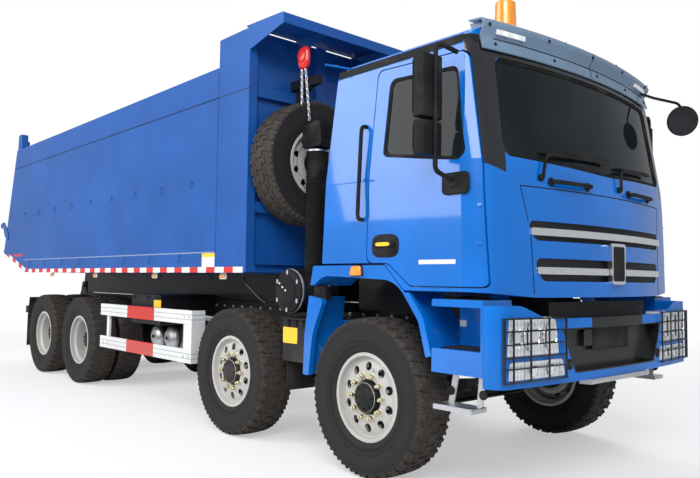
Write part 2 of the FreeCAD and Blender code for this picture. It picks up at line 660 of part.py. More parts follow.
def build_cab():
    outer = cab_volume(0)
    inner = cab_volume(CAB_WALL)
    behind = cab_volume(CAB_WALL + SEAM, FLOOR_DROP)
    shell, tunnel, dash = cab_shell(outer, inner, behind)
    core = cab_volume(CAB_WALL - SEAL_GAP, FLOOR_DROP)
    plates = latch_plates(inner.cut(behind))
    shell = fused([shell, tunnel.common(outer)] + cab_arms() + plates)
    parts = {"cab_shell": largest(shell)}
    mid = cab_volume(CAB_WALL / 2 - GLASS / 2).cut(cab_volume(CAB_WALL / 2 + GLASS / 2))
    for side, name in ((1, "left"), (-1, "right")):
        panel = outer.cut(inner).common(side_cut(door_outline(0), side).cut(core))
        opening = side_cut(window_outline(0), side)
        seat = side_cut(window_outline(14), side)
        door = panel.cut(opening)
        glass = mid.common(seat)
        door = door.cut(glass)
        parts[name + "_door"] = largest(door)
        parts[name + "_door_glass"] = largest(glass)
    screen = mid.common(profile(screen_outline(14), "YZ", 860, 1300))
    back = mid.common(profile([(-634, 2216), (634, 2216), (634, 2694), (-634, 2694)], "YZ",
                              CAB_REAR - 100, CAB_REAR + 160, 60))
    parts["cab_shell"] = largest(parts["cab_shell"].cut(Part.Compound([screen, back])))
    parts["windscreen"] = Part.Compound([screen, back])
    parts["cab_interior"] = cab_interior(dash.cut(tunnel))
    return parts


def largest(shape):
    return max(shape.Solids, key=lambda s: s.Volume)


def cab_interior(dash):
    """Dashboard with steering wheel, two seats."""
    solids = []
    for y in (620, -620):
        base = block(-60, 300, y - 170, y + 170, CAB_FLOOR + CAB_WALL, CAB_FLOOR + 280)
        cushion = profile([(-160, CAB_FLOOR + 260), (-160, CAB_FLOOR + 360), (330, CAB_FLOOR + 390, 40),
                           (350, CAB_FLOOR + 270, 40)], "XZ", y - 250, y + 250, 30)
        back = profile([(-90, CAB_FLOOR + 300), (-230, CAB_FLOOR + 980, 60), (-330, CAB_FLOOR + 980, 60),
                        (-250, CAB_FLOOR + 300, 60)], "XZ", y - 240, y + 240, 40)
        head = profile([(-250, CAB_FLOOR + 960), (-270, CAB_FLOOR + 1160, 40),
                        (-340, CAB_FLOOR + 1160, 40), (-330, CAB_FLOOR + 960)], "XZ", y - 130, y + 130, 30)
        solids.append(fused([base, cushion, back, head]))
    column = rod((740, 620, CAB_FLOOR + 420), (560, 620, CAB_FLOOR + 620), 32)
    rim = Part.makeTorus(225, 15, vec(555, 620, CAB_FLOOR + 625), vec(180, 0, -200))
    spokes = rod((555, 400, CAB_FLOOR + 625), (555, 840, CAB_FLOOR + 625), 14)
    solids.append(fused([dash, column, rim, spokes]))
    return Part.Compound(solids)


def grille_bars():
    """Bright bars seated on the nose across the grille openings, the lower one in two halves."""
    band = cab_volume(-14).cut(cab_volume(0))
    upper = profile([(-868, 1668, 14), (868, 1668, 14), (868, 1622, 14), (-868, 1622, 14)], "YZ",
                    1000, 1300)
    lower = profile([(96, 1428, 14), (822, 1428, 14), (822, 1384, 14), (96, 1384, 14)], "YZ",
                    1000, 1300)
    plate = profile([(-95, 1600, 20), (95, 1600, 20), (88, 1325, 20), (-88, 1325, 20)], "YZ",
                    1130, 1196)
    plate = plate.cut(cab_volume(0)).cut(band.common(upper))
    return [band.common(upper)] + both_sides(band.common(lower).cut(plate)) + [plate]


def sun_visor():
    """Two-part peak over the windscreen, turned about the centre of the nose's bow, on four brackets."""
    reach = VISOR_HALF_WIDTH
    bow = (reach ** 2 + VISOR_SETBACK ** 2) / (2 * VISOR_SETBACK)
    sheet = strip([(872, 2990), (1048, 2962, 40), (985, 2862, 30), (1012, 2775)], "XZ", -0.5, 0.5, -10)
    face = min(sheet.Faces, key=lambda f: f.CenterOfMass.y)
    angle = math.degrees(math.asin(reach / bow))
    centre = vec(VISOR_NOSE - bow, 0, 0)
    face.translate(vec(0, 0.5, 0))
    face.rotate(centre, vec(0, 0, 1), -angle)
    pieces = [face.revolve(centre, vec(0, 0, 1), 2 * angle)]
    for y in (-1040, -350, 350, 1040):
        step = VISOR_SETBACK * (y / reach) ** 2
        plate = profile([(850 - step, 2975), (1030 - step, 2955), (984 - step, 2866), (880 - step, 2866)],
                        "XZ", y - 5, y + 5)
        pieces.append(plate)
    return largest(fused(pieces).cut(cab_volume(0)))


def beacon():
    """Amber roof beacon: domed lens on a dark foot."""
    x, y, z = BEACON_BASE
    return turned([(-60, 0), (-60, 82), (0, 82, 4), (26, 80, 6), (34, 75, 3), (196, 70, 18), (212, 50, 14),
                   (216, 0)], (x, y, z), "Z").cut(cab_volume(0))


def front_mirror():
    """Round close-view mirror on a bent arm from the visor's left corner."""
    x, y, z = FRONT_MIRROR
    r = FRONT_MIRROR_RADIUS
    dish = turned([(-12, 0), (-12, r - 6, 5), (4, r, 8), (28, r - 26, 30), (44, r - 84, 20), (46, 0)],
                  (x, 0, z), "Y")
    dish.translate(vec(0, y, 0))
    dish.rotate(vec(x, y, z), vec(1, 0, 0), FRONT_MIRROR_TILT)
    dish.rotate(vec(x, y, z), vec(0, 0, 1), FRONT_MIRROR_TURN)
    foot = (x - 22, y + 27)
    arm = pipe([(880, 940, 2885), (960, 1080, 2850), (*foot, z + 150), (*foot, z + 20)], 11, 60)
    return largest(fused([dish, arm]).cut(sun_visor()))


def mirrors():
    """Left pair of rear-view mirrors on one tubular bracket carried by the door."""
    x, y = MIRROR_PLACE
    solids = []
    for low, high, wide in ((2310, 2690, 108), (2085, 2285, 104)):
        shell = profile([(x - 42, y - wide, 30), (x + 42, y - wide + 12, 36),
                         (x + 42, y + wide - 12, 36), (x - 42, y + wide, 30)], "XY", low, high)
        solids.append(shell)
    back = x + 50
    bracket = pipe([(MIRROR_FOOT_X, 1236, 2735), (back, y - 10, 2770), (back, y - 10, 1990),
                    (MIRROR_FOOT_X, 1252, 1930)], 15, 45)
    foot = turned([(0, 0), (0, 42, 6), (34, 34, 14), (34, 0)], (MIRROR_FOOT_X, 1244, 1930), "Y")
    return largest(fused(solids + [bracket, foot]).cut(cab_volume(0)))


# ---- nose of the chassis ----------------------------------------------------------------------
def bumper_wire(inset):
    """Plan of the bumper: squarer corners than the cab, same bow."""
    half = BODY_HALF_WIDTH - inset
    side = vec(BUMPER_REAR + 40, half, 0)
    corner = vec(BUMPER_NOSE - 62 - inset, half - 110, 0)
    edges = []
    edges.append(Part.makeLine(vec(BUMPER_REAR, half, 0), side))
    edges.append(Part.Arc(side, vec(BUMPER_NOSE - 90 - inset, half - 32, 0), corner).toShape())
    edges.append(Part.Arc(corner, vec(BUMPER_NOSE - inset, 0, 0), vec(corner.x, -corner.y, 0)).toShape())
    edges.append(Part.Arc(vec(corner.x, -corner.y, 0), vec(BUMPER_NOSE - 90 - inset, 32 - half, 0),
                          vec(side.x, -half, 0)).toShape())
    edges.append(Part.makeLine(vec(side.x, -half, 0), vec(BUMPER_REAR, -half, 0)))
    edges.append(Part.makeLine(vec(BUMPER_REAR, -half, 0), vec(BUMPER_REAR, half, 0)))
    return Part.Wire(edges)


def bumper_volume(inset):
    wire = bumper_wire(inset)
    wire.translate(vec(0, 0, BUMPER_BOTTOM - 100))
    return Part.Face(wire).extrude(vec(0, 0, 700))


def headlamp_outline(grow):
    g = grow
    return [(705 - g, 905 - g, 16), (735 - g, 1112 + g, 24), (1165 + g, 1128 + g, 24),
            (1178 + g, 905 - g, 16)]


def foglamp_outline(grow):
    g = grow
    return [(640 - g, 768 - g, 16), (668 - g, 872 + g, 24), (1160 + g, 872 + g, 24),
            (1168 + g, 768 - g, 16)]


def front_bumper():
    """Steel bumper shell: bowed, open at the rear, with lamp pockets and a stepped centre recess."""
    shell = bumper_volume(0).cut(bumper_volume(BUMPER_WALL))
    top = BUMPER_TOP
    face = profile([(-BODY_HALF_WIDTH - 10, BUMPER_BOTTOM), (-BODY_HALF_WIDTH - 10, top + 84),
                    (-1060, top + 84, 200), (-820, top, 200), (820, top, 200), (1060, top + 84, 200),
                    (BODY_HALF_WIDTH + 10, top + 84), (BODY_HALF_WIDTH + 10, BUMPER_BOTTOM)],
                   "YZ", BUMPER_REAR + 1, BUMPER_NOSE + 100)
    shell = shell.common(face)
    recess = [(-655, 1045, 20), (655, 1045, 20), (530, 780, 20), (-530, 780, 20)]
    cuts = [profile(recess, "YZ", 1100, 1300)]
    for outline in (headlamp_outline(3), foglamp_outline(3)):
        cuts += both_sides(profile(outline, "YZ", 1020, 1300))
    shell = shell.cut(Part.Compound(cuts))
    wall = 8
    rim = [(-655 - wall, 1045 + wall, 24), (655 + wall, 1045 + wall, 24), (530 + wall, 780 - wall, 24),
           (-530 - wall, 780 - wall, 24)]
    tub = profile(rim, "YZ", 1096, 1250).cut(profile(recess, "YZ", 1096 + wall, 1300))
    tub = tub.common(bumper_volume(0))
    flap = profile([(-350, 925), (-350, 1030, 16), (350, 1030, 16), (350, 925)], "YZ", 1100, 1130)
    arms = both_sides(block(FRAME_FRONT, 1100, FRAME_HALF_WIDTH - 20, FRAME_HALF_WIDTH, 900, 1030))
    return fused([shell, tub, flap] + arms)


def headlamps():
    """Main and fog lamp units seated in the bumper's pockets."""
    solids = []
    skin = bumper_volume(4)
    behind = bumper_volume(BUMPER_WALL)
    for outline in (headlamp_outline, foglamp_outline):
        lens = profile(outline(0), "YZ", 1035, 1300).common(skin)
        flange = profile(outline(12), "YZ", 1035, 1300).common(behind)
        solids += both_sides(fused([lens, flange]))
    return solids


def lamp_guards():
    """Wire cages over the lamps: bent round bars following the bumper at a stand-off."""
    solids = []
    ring_wire = bumper_volume(-22)
    inner_wire = bumper_volume(-14)
    shellband = ring_wire.cut(inner_wire)
    bars = []
    for z in (760, 838, 900, 975, 1050, 1122):
        bars.append(block(1000, 1400, 650, 1225, z - 4, z + 4))
    for y in (660, 830, 1000, 1150, 1219):
        bars.append(block(1000, 1400, y - 4, y + 4, 756, 1126))
    cage = shellband.common(fused(bars))
    stubs = []
    for y, z in ((660, 760), (1150, 760), (660, 1122), (1150, 1122)):
        x_front = BUMPER_NOSE - 62 * (y / (BODY_HALF_WIDTH - 110)) ** 2
        stubs.append(rod((x_front - 6, y, z), (x_front + 16, y, z), 5))
    cage = fused([cage] + stubs).cut(bumper_volume(0))
    return Part.Compound(both_sides(largest(cage)))


def alloy_steps():
    """Bright steps: one across the bumper's foot, one hung under each side of the cab."""
    front = profile([(1120, BUMPER_BOTTOM - 34), (1120, BUMPER_BOTTOM), (BUMPER_NOSE + 18, BUMPER_BOTTOM),
                     (BUMPER_NOSE + 18, BUMPER_BOTTOM - 30, 6)],
                    "XZ", -395, 395)
    solids = [front]
    tread = profile([(630, 560), (630, 590), (925, 590), (925, 560)], "XZ", 1105, 1250, 6)
    hangers = [strip([(645, 588), (690, 800)], "XZ", 1110, 1122, -40),
               strip([(905, 588), (925, 800)], "XZ", 1110, 1122, 40)]
    above = block(600, 1000, 1100, 1250, CAB_STEP_FOOT, 900)
    solids += both_sides(fused([tread] + hangers).cut(above))
    return Part.Compound(solids)


def cab_steps():
    """Left step well beside the wheel: back panel, two treads and the front return."""
    back = block(612, 1000, 960, 972, 880, 1225)
    upper = profile([(612, 1180), (612, 1225, 16), (1000, 1225, 16), (1000, 1180)], "XZ", 965, 1245)
    lower = profile([(612, 862), (612, 925, 16), (1000, 925, 16), (1000, 862)], "XZ", 965, 1245)
    foot = block(612, 1000, 1100, 1245, CAB_STEP_FOOT, 868)
    cheek = block(986, 1000, 965, 1245, CAB_STEP_FOOT, 1225)
    stay = block(700, 760, FRAME_HALF_WIDTH, 966, 850, 900)
    return Part.Compound(both_sides(fused([back, upper, lower, foot, cheek, stay])))


def fender_arch():
    """Inner line of the front wheel arch, from the front foot over the wheel to the rear."""
    return [(562, 860), (500, 1080, 160), (300, 1335, 260), (-120, 1352, 500), (-440, 1362, 200),
            (-556, 1290)]


def front_fenders():
    """Left front fender: deep side skirt, thin roof over the tyre, and the separate lower rear part."""
    skirt = strip(fender_arch(), "XZ", 1215, 1245, -46)
    apron = profile([(-590, 1292), (-560, 1436, 20), (215, 1436, 30), (335, 1368), (296, 1338),
                     (-120, 1354), (-440, 1364), (-540, 1300)], "XZ", 1215, 1245)
    roof = strip(fender_arch(), "XZ", 870, 1220, -10)
    stay = rod((-20, FRAME_HALF_WIDTH, FRAME_TOP - 60), (-20, 905, 1356), 22)
    upper = fused([skirt, apron, roof, stay])
    lower = profile([(-604, 1214, 10), (-436, 1190, 30), (-560, 940, 500), (-600, 627), (-665, 627, 10),
                     (-650, 940, 600)], "XZ", 1205, 1245)
    lining = strip([(-620, 1206), (-650, 940, 600), (-656, 627)], "XZ", 880, 1210, 8)
    lower_stay = rod((-652, FRAME_HALF_WIDTH, 1000), (-652, 1215, 1000), 18)
    return Part.Compound(both_sides(upper) + both_sides(fused([lower, lining, lower_stay])))


def mudflaps():
    """Rubber flaps: one behind each front wheel, one behind each rear pair; bellows on the fenders."""
    front = profile([(790, 455, 20), (1140, 455, 20), (1140, 690), (790, 690)], "YZ", -1006, -998)
    rear = strip([(-7238, 1030), (-7296, 760, 200), (-7300, 330)], "XZ", 500, 1160, 8)
    arm = rod((-7212, FRAME_HALF_WIDTH, 1010), (-7212, 1150, 1010), 18)
    stub = rod((-7245, 700, 1010), (-7212, 700, 1010), 10)
    bellows = profile([(-596, 1180), (-596, 1284), (-470, 1284), (-450, 1180)], "XZ", 1150, 1205, 6)
    return Part.Compound(both_sides(front) + both_sides(fused([rear, arm, stub])) + both_sides(bellows))


# ---- gear on the frame's flanks ----------------------------------------------------------------
def side_boxes():
    """Battery boxes with their lids behind the front wheels, control box over the air tanks."""
    battery = profile([(-1050, 690), (-1050, 1020, 20), (-700, 1020, 20), (-700, 690)], "XZ",
                      -1150, -FRAME_HALF_WIDTH, 12)
    shelf = block(-1040, -720, -1180, -780, 1020, 1032)
    control = profile([(-3990, 835), (-3990, 1150, 30), (-3300, 1150, 30), (-3300, 835)], "XZ",
                      -1080, -FRAME_HALF_WIDTH, 12)
    return Part.Compound(both_sides(fused([battery, shelf])) + [control])


def air_tanks():
    """Two air reservoirs with domed ends, across the frame's right flank, each on a strap."""
    solids = []
    for x in (-3500, -3820):
        tank = turned([(-900, 0), (-892, 70, 60), (-860, 126, 40), (-490, 126, 40), (-458, 70, 60),
                       (-450, 0)], (x, 0, 680))
        strap = block(x - 25, x + 25, -700, -640, 800, 835)
        solids.append(fused([tank, strap]))
    return Part.Compound(solids)


def fuel_tank():
    """Left fuel tank: rounded box with filler neck, on two straps from the frame."""
    tank = profile([(520, 480), (520, 1080), (1150, 1080), (1150, 480)], "YZ", -4150, -2750, 90)
    neck = rod((-3000, 900, 1060), (-3000, 960, 1120), 50)
    straps = []
    for x in (-3950, -2950):
        outer = profile([(512, 472), (512, 1088), (1158, 1088), (1158, 472)], "YZ", x - 30, x + 30, 98)
        straps.append(outer)
        straps.append(block(x - 30, x + 30, FRAME_HALF_WIDTH, 560, 880, 1000))
    return fused([tank, neck] + straps)


def air_intake():
    """Raised intake with its duct down to the air-cleaner drum on the right."""
    hood = profile([(-1050, 2410, 30), (-1050, 2600, 60), (-830, 2640, 50), (-800, 2420, 30)], "XZ",
                   -985, -815)
    duct = profile([(-1030, -950, 40), (-880, -950, 40), (-880, -850, 40), (-1030, -850, 40)], "XY",
                   1300, 2430)
    drum = turned([(-1160, 0), (-1160, 120, 10), (-1146, 175, 14), (-760, 175, 20), (-760, 0)],
                  (-1000, 0, 1240))
    stay = block(-1060, -940, -770, -FRAME_HALF_WIDTH, 1060, 1130)
    return fused([hood, duct, drum, stay])


def side_guards():
    """Left side guard: two deep rails, front post with its inward return, stays to the frame."""
    low = 540
    high = 1030
    face = []
    for z in (low, high - 128):
        face.append(block(GUARD_REAR, GUARD_FRONT, 1222, 1250, z, z + 128))
    face.append(block(GUARD_FRONT - 128, GUARD_FRONT, 1222, 1250, low, high))
    face.append(block(GUARD_FRONT - 24, GUARD_FRONT, 1110, 1250, low, high))
    for x in (GUARD_FRONT - 170, GUARD_REAR + 150):
        face.append(block(x - 30, x + 30, 1200, 1224, low, high))
        face.append(rod((x, FRAME_HALF_WIDTH, 850), (x, 1210, 985), 24))
    return Part.Compound(both_sides(fused(face)))


def rear_bar():
    """Crossbar for the rear lamps and under-run bar below, hung from the frame's ends."""
    bar = block(-7420, -7340, -1150, 1150, 800, 900)
    low = block(-7420, -7340, -1100, 1100, 440, 540)
    drops = []
    for y in (-360, 360):
        drops.append(block(-7410, -7350, y - 40, y + 40, 500, 1000))
        drops.append(block(-7420, FRAME_REAR + 60, y - 40, y + 40, 900, 1000))
    return fused([bar, low] + drops)


def tail_lamps():
    """Lamp clusters on the rear of the crossbar."""
    lamp = profile([(760, 806), (760, 894), (1120, 894), (1120, 806)], "YZ", -7452, -7420, 16)
    return both_sides(lamp)


# ---- spare wheel --------------------------------------------------------------------------------
def spare_wheel():
    """Spare tyre on its rim, facing forward."""
    x, y, z = SPARE_CENTRE
    rubber = tyre(x, y, z, "X")
    rim = turned(rim_barrel(1), (x, y, z), "X")
    disc = turned([(34, 254), (44, 254, 10), (70, 236, 20), (78, 205, 20), (62, 180, 10), (62, 112),
                   (52, 112), (52, 184, 10), (66, 208, 20), (60, 230, 20), (34, 244, 6)], (x, y, z), "X")
    hole = rod((x, y, z + HAND_HOLE_CIRCLE), (x + 130, y, z + HAND_HOLE_CIRCLE), HAND_HOLE_RADIUS)
    disc = disc.cut(Part.Compound(around(hole, (x, y, z), vec(1, 0, 0), HAND_HOLES)))
    return rubber, fused([rim, disc])


def spare_bracket():
    """Carrier on the headboard: back beam, bolt plate inside the disc and a cradle under the tyre."""
    x, y, z = SPARE_CENTRE
    back = BED_FRONT + 10
    arm = rod((back, y, z), (x + 52, y, z), 60)
    plate = rod((x + 40, y, z), (x + 52, y, z), 150)
    stud = rod((x + 50, y, z), (x + 96, y, z), 26)
    base = block(back, back + 16, y - 220, y + 220, z - 160, z + 160)
    hoist_beam = block(BED_FRONT - 48, x + 120, y - 30, y + 30, z + 700, z + 780)
    gusset = profile([(back, z + 560), (back, z + 704), (x + 60, z + 704)], "XZ", y - 10, y + 10)
    return Part.Compound([fused([arm, plate, stud, base]), fused([hoist_beam, gusset])])


# ---- bed ------------------------------------------------------------------------------------
def bed():
    """Welded dump bed: floor with ducktail, plate sides under box rails, headboard and canopy."""
    pieces = []
    outer = BODY_HALF_WIDTH
    side = [(BED_FRONT, BED_BOTTOM), (BED_FRONT, BED_SIDE_TOP), (-7800, BED_SIDE_TOP),
            (BED_TAIL_TIP + 20, BED_BOTTOM + BED_TAIL_RISE + 40), (BED_TAIL_TIP, BED_BOTTOM + BED_TAIL_RISE),
            (BED_TAIL_KINK, BED_BOTTOM)]
    pieces += both_sides(profile(side, "XZ", outer - BED_PLATE, outer))
    inner_wall = [(BED_FRONT - 60, BED_BOTTOM + 40), (BED_FRONT - 60, BED_SIDE_TOP - 4),
                  (-7700, BED_SIDE_TOP - 4), (-8190, BED_BOTTOM + BED_TAIL_RISE + 40),
                  (BED_TAIL_KINK, BED_BOTTOM + 40)]
    pieces += both_sides(profile(inner_wall, "XZ", BED_HALF_INSIDE, BED_HALF_INSIDE + BED_PLATE))
    rail = strip([(outer, BED_SIDE_TOP - BED_RAIL), (outer, BED_SIDE_TOP), (BED_HALF_INSIDE, BED_SIDE_TOP)],
                 "YZ", -7790, BED_FRONT, BED_PLATE)
    pieces += both_sides(rail)
    sill = block(BED_TAIL_KINK, BED_FRONT, BED_HALF_INSIDE, outer - 1, BED_BOTTOM, BED_BOTTOM + 60)
    pieces += both_sides(sill)
    floor = strip([(BED_FRONT, BED_FLOOR), (BED_TAIL_KINK, BED_FLOOR, 200),
                   (BED_TAIL_TIP, BED_BOTTOM + BED_TAIL_RISE + 20)], "XZ", -outer + 2, outer - 2, 12)
    pieces.append(floor)
    under = strip([(BED_TAIL_KINK + 20, BED_BOTTOM), (BED_TAIL_TIP, BED_BOTTOM + BED_TAIL_RISE)], "XZ",
                  -outer + 2, outer - 2, -10)
    pieces.append(under)
    pieces.append(block(BED_TAIL_TIP, BED_TAIL_TIP + 30, -outer, outer, BED_BOTTOM + BED_TAIL_RISE,
                        BED_BOTTOM + BED_TAIL_RISE + 50))
    head = block(BED_FRONT - 60, BED_FRONT - 48, -outer + 2, outer - 2, BED_BOTTOM, BED_PILLAR_TOP)
    pieces.append(head)
    for y in (-outer, outer - 82):
        pillar = block(BED_FRONT - BED_PILLAR, BED_FRONT, y, y + 82, BED_BOTTOM, BED_PILLAR_TOP)
        hollow = block(BED_FRONT - BED_PILLAR + 8, BED_FRONT - 68, y + 8, y + 74, BED_BOTTOM + 100,
                       BED_PILLAR_TOP - 8)
        pieces.append(pillar.cut(hollow))
    for y in (-outer, outer - 90):
        post = profile([(BED_TAIL_TIP + 40, BED_BOTTOM + BED_TAIL_RISE + 40), (-7760, 3240), (-7740, 3465),
                        (-7600, 3465), (-7570, 3240), (-8040, BED_BOTTOM + BED_TAIL_RISE + 40)],
                       "XZ", y, y + 90, 10)
        pieces.append(post)
    for z in (1900, 2400, 2900):
        pieces.append(block(BED_FRONT - 50, BED_FRONT + 10, -outer + 90, outer - 90, z, z + 90))
    for y in (-520, -80, 410):
        pieces.append(block(BED_FRONT - 50, BED_FRONT + 4, y, y + 110, BED_BOTTOM, BED_PILLAR_TOP - 10))
    pieces += canopy() + bed_underframe() + hoist_plates() + gate_pins() + tail_locks()
    return fused(pieces)


def canopy():
    """Flat roof that shields the gap behind the cab, with its turned-down lip and side gussets."""
    outer = BODY_HALF_WIDTH
    roof = strip([(BED_FRONT - 60, CANOPY_TOP), (CANOPY_FRONT, CANOPY_TOP - 20, 4),
                  (CANOPY_FRONT + 6, CANOPY_TOP - 110)], "XZ", -outer, outer, -BED_PLATE)
    gusset = profile([(BED_FRONT - 20, CANOPY_TOP - 4), (CANOPY_FRONT, CANOPY_TOP - 24),
                      (CANOPY_FRONT, CANOPY_TOP - 112), (BED_FRONT - 20, CANOPY_TOP - 224)], "XZ",
                     outer - BED_PLATE, outer)
    ribs = []
    for y in (-720, 0, 720):
        rib = profile([(BED_FRONT - 50, CANOPY_TOP - 6), (CANOPY_FRONT, CANOPY_TOP - 26),
                       (CANOPY_FRONT, CANOPY_TOP - 60), (BED_FRONT - 50, CANOPY_TOP - 150)], "XZ",
                      y - 5, y + 5)
        ribs.append(rib)
    return [roof] + both_sides(gusset) + ribs


def bed_underframe():
    """Two long sills, cross-bearers under the floor and the hinge lugs."""
    x, z = BED_HINGE
    low = FRAME_TOP + SEAM
    y0 = FRAME_HALF_WIDTH - 80 + GAP
    y1 = FRAME_HALF_WIDTH - 24 - GAP
    pieces = both_sides(block(x + 130, BED_FRONT, y0 - 40, y1 + 20, low, BED_FLOOR - 2))
    lug = profile([(x + 135, low), (x + 135, BED_FLOOR - 2), (x - 30, BED_FLOOR - 2), (x - 66, z + 10, 60),
                   (x - 10, z - 66, 60)], "XZ", y0, y1, 10)
    lug = lug.cut(rod((x, 0, z), (x, 600, z), BED_PIN_RADIUS + FIT))
    pieces += both_sides(lug)
    station = BED_FRONT - 200
    while station > BED_TAIL_KINK:
        pieces.append(block(station - 40, station + 40, -BODY_HALF_WIDTH + 5, BODY_HALF_WIDTH - 5,
                            BED_BOTTOM, BED_FLOOR - 2))
        station -= 620
    return pieces


def hoist_plates():
    """Pair of plates on the headboard with the long holes in which the lift cylinder's pins ride."""
    x, z = HOIST_TRUNNION
    near = hoist_radius(HOIST_STAGES) + HOIST_COLLAR[1] + GAP
    plate = profile([(BED_FRONT - 40, z - 330), (x + HOIST_SLOT[2] + 45, z + HOIST_SLOT[1] - 60, 60),
                     (x + HOIST_SLOT[2] + 45, z + HOIST_SLOT[3] + 60, 60), (BED_FRONT - 40, z + 330)],
                    "XZ", near, near + HOIST_EAR)
    bore = profile([(x + HOIST_SLOT[i], z + HOIST_SLOT[j], HOIST_PIN_RADIUS)
                    for i, j in ((0, 1), (2, 1), (2, 3), (0, 3))], "XZ", 0, 2 * near)
    return both_sides(plate.cut(bore))


def tailgate():
    """Top-hung tailgate, leaning with the tail posts: plate, box ribs outside and hinge arms."""
    x, z = GATE_HINGE
    half = BED_HALF_INSIDE - 10
    foot = (-8262.0, 1752.0)
    head = (-7772.0, 3240.0)
    pieces = [strip([foot, head], "XZ", -half, half, 10)]
    for part in (0.02, 0.32, 0.62, 0.93):
        at = (foot[0] + part * (head[0] - foot[0]), foot[1] + part * (head[1] - foot[1]))
        end = (at[0] + 0.06 * (head[0] - foot[0]), at[1] + 0.06 * (head[1] - foot[1]))
        pieces.append(strip([at, end], "XZ", -half, half, 60))
    for y in (-half, -half / 3 - 40, half / 3 - 40, half - 80):
        pieces.append(strip([foot, head], "XZ", y, y + 80, 56))
    arm = profile([(head[0] - 30, head[1] - 60), (x - 40, z + 20, 40), (x, z + 44, 40),
                   (x + 40, z, 40), (head[0] + 4, head[1] - 70)], "XZ", half - 24, half)
    arm = arm.cut(rod((x, 0, z), (x, 1400, z), GATE_PIN_RADIUS + FIT))
    pieces += both_sides(arm)
    return fused(pieces)


def gate_pins():
    """Pins on the tail posts that the tailgate hangs from."""
    x, z = GATE_HINGE
    return both_sides(rod((x, BODY_HALF_WIDTH - 140, z), (x, BODY_HALF_WIDTH - 80, z), GATE_PIN_RADIUS))


def tail_locks():
    """Lever locks that stand out from the tail posts."""
    lever = profile([(-8060, 1870, 20), (-8060, 1990, 20), (-8300, 2170, 20), (-8440, 2150, 30),
                     (-8440, 2080, 20), (-8310, 2080, 20), (-8220, 1950, 20)], "XZ", 1242, 1262)
    return both_sides(lever)


# ---- lift cylinder --------------------------------------------------------------------------
def hoist_radius(number):
    """Outer radius of a tube, counted from the slimmest."""
    return HOIST_ROD_RADIUS + number * HOIST_STEP


def hoist_tube(number):
    """One tube on the Z axis: gland ring at its mouth, and a guide ring at its closed top."""
    outer = hoist_radius(number)
    inner = outer - HOIST_WALL
    height, depth = HOIST_COLLAR
    mouth = HOIST_EYE_RADIUS + number * HOIST_LIP
    top = HOIST_CLOSED - (HOIST_STAGES - number) * (HOIST_WALL + 6)
    guide = hoist_radius(number + 1) - HOIST_WALL - HOIST_GUIDE_GAP
    section = [(mouth, inner), (mouth, outer + depth, 3), (mouth + height, outer + depth, 3),
               (mouth + height, outer)]
    if number < HOIST_STAGES:
        section += [(top - 30, outer), (top - 30, guide), (top, guide)]
    else:
        section += [(top, outer, 10)]
    return turned(section + [(top, 0), (top - HOIST_WALL, 0), (top - HOIST_WALL, inner)],
                  (0, 0, 0), "Z")


def hoist_parts():
    """Nested tubes: the slimmest stands on the cross-pin, the widest hangs by its trunnion."""
    names = ["hoist_stage_%d" % (i + 1) for i in range(HOIST_STAGES)] + ["hoist_barrel"]
    tubes = [hoist_tube(i) for i in range(len(names))]
    low = HOIST_EYE_RADIUS + HOIST_COLLAR[0]
    eye = profile([(-50, 0, 50), (-50, low, 4), (50, low, 4), (50, 0, 50), (0, -62, 50)], "XZ",
                  -HOIST_ROD_RADIUS + 1, HOIST_ROD_RADIUS - 1)
    eye = eye.cut(rod((0, -99, 0), (0, 99, 0), HOIST_PIN_RADIUS))
    tubes[0] = fused([tubes[0], eye])
    outer = hoist_radius(HOIST_STAGES)
    rise = HOIST_TRUNNION[1] - HOIST_BASE[1]
    reach = outer + HOIST_COLLAR[1] + GAP + HOIST_EAR + 4
    band = ring((0, 0, rise - 60), (0, 0, rise + 60), outer + HOIST_COLLAR[1], outer - 1)
    pins = rod((0, -reach, rise), (0, reach, rise), HOIST_PIN_RADIUS)
    pins = pins.cut(rod((0, 0, 0), (0, 0, HOIST_CLOSED - 20), outer - 1))
    tubes[-1] = fused([tubes[-1], band, pins])
    for tube in tubes:
        tube.translate(vec(HOIST_BASE[0], 0, HOIST_BASE[1]))
    return dict(zip(names, tubes))


# ---- assembly -------------------------------------------------------------------------------
def wheels_and_knuckles():
    parts = {}
    for number in (1, 2):
        x = axle_x(number)
        for side, name in ((1, "left"), (-1, "right")):
            flip = mirrored if side < 0 else (lambda s: s)
            parts["tyre_%d_%s" % (number, name)] = flip(tyre(x, STEER_WHEEL_Y))
            parts["wheel_%d_%s" % (number, name)] = flip(steer_wheel(x))
            parts["knuckle_%d_%s" % (number, name)] = flip(knuckle(x))
    for number in (3, 4):
        x = axle_x(number)
        pair = Part.Compound([tyre(x, DUAL_OUTER_Y), tyre(x, DUAL_OUTER_Y - DUAL_SPACING)])
        rims = dual_wheels(x)
        for side, name in ((1, "left"), (-1, "right")):
            flip = mirrored if side < 0 else (lambda s: s)
            parts["tyres_%d_%s" % (number, name)] = flip(pair)
            parts["wheels_%d_%s" % (number, name)] = flip(rims)
    return parts


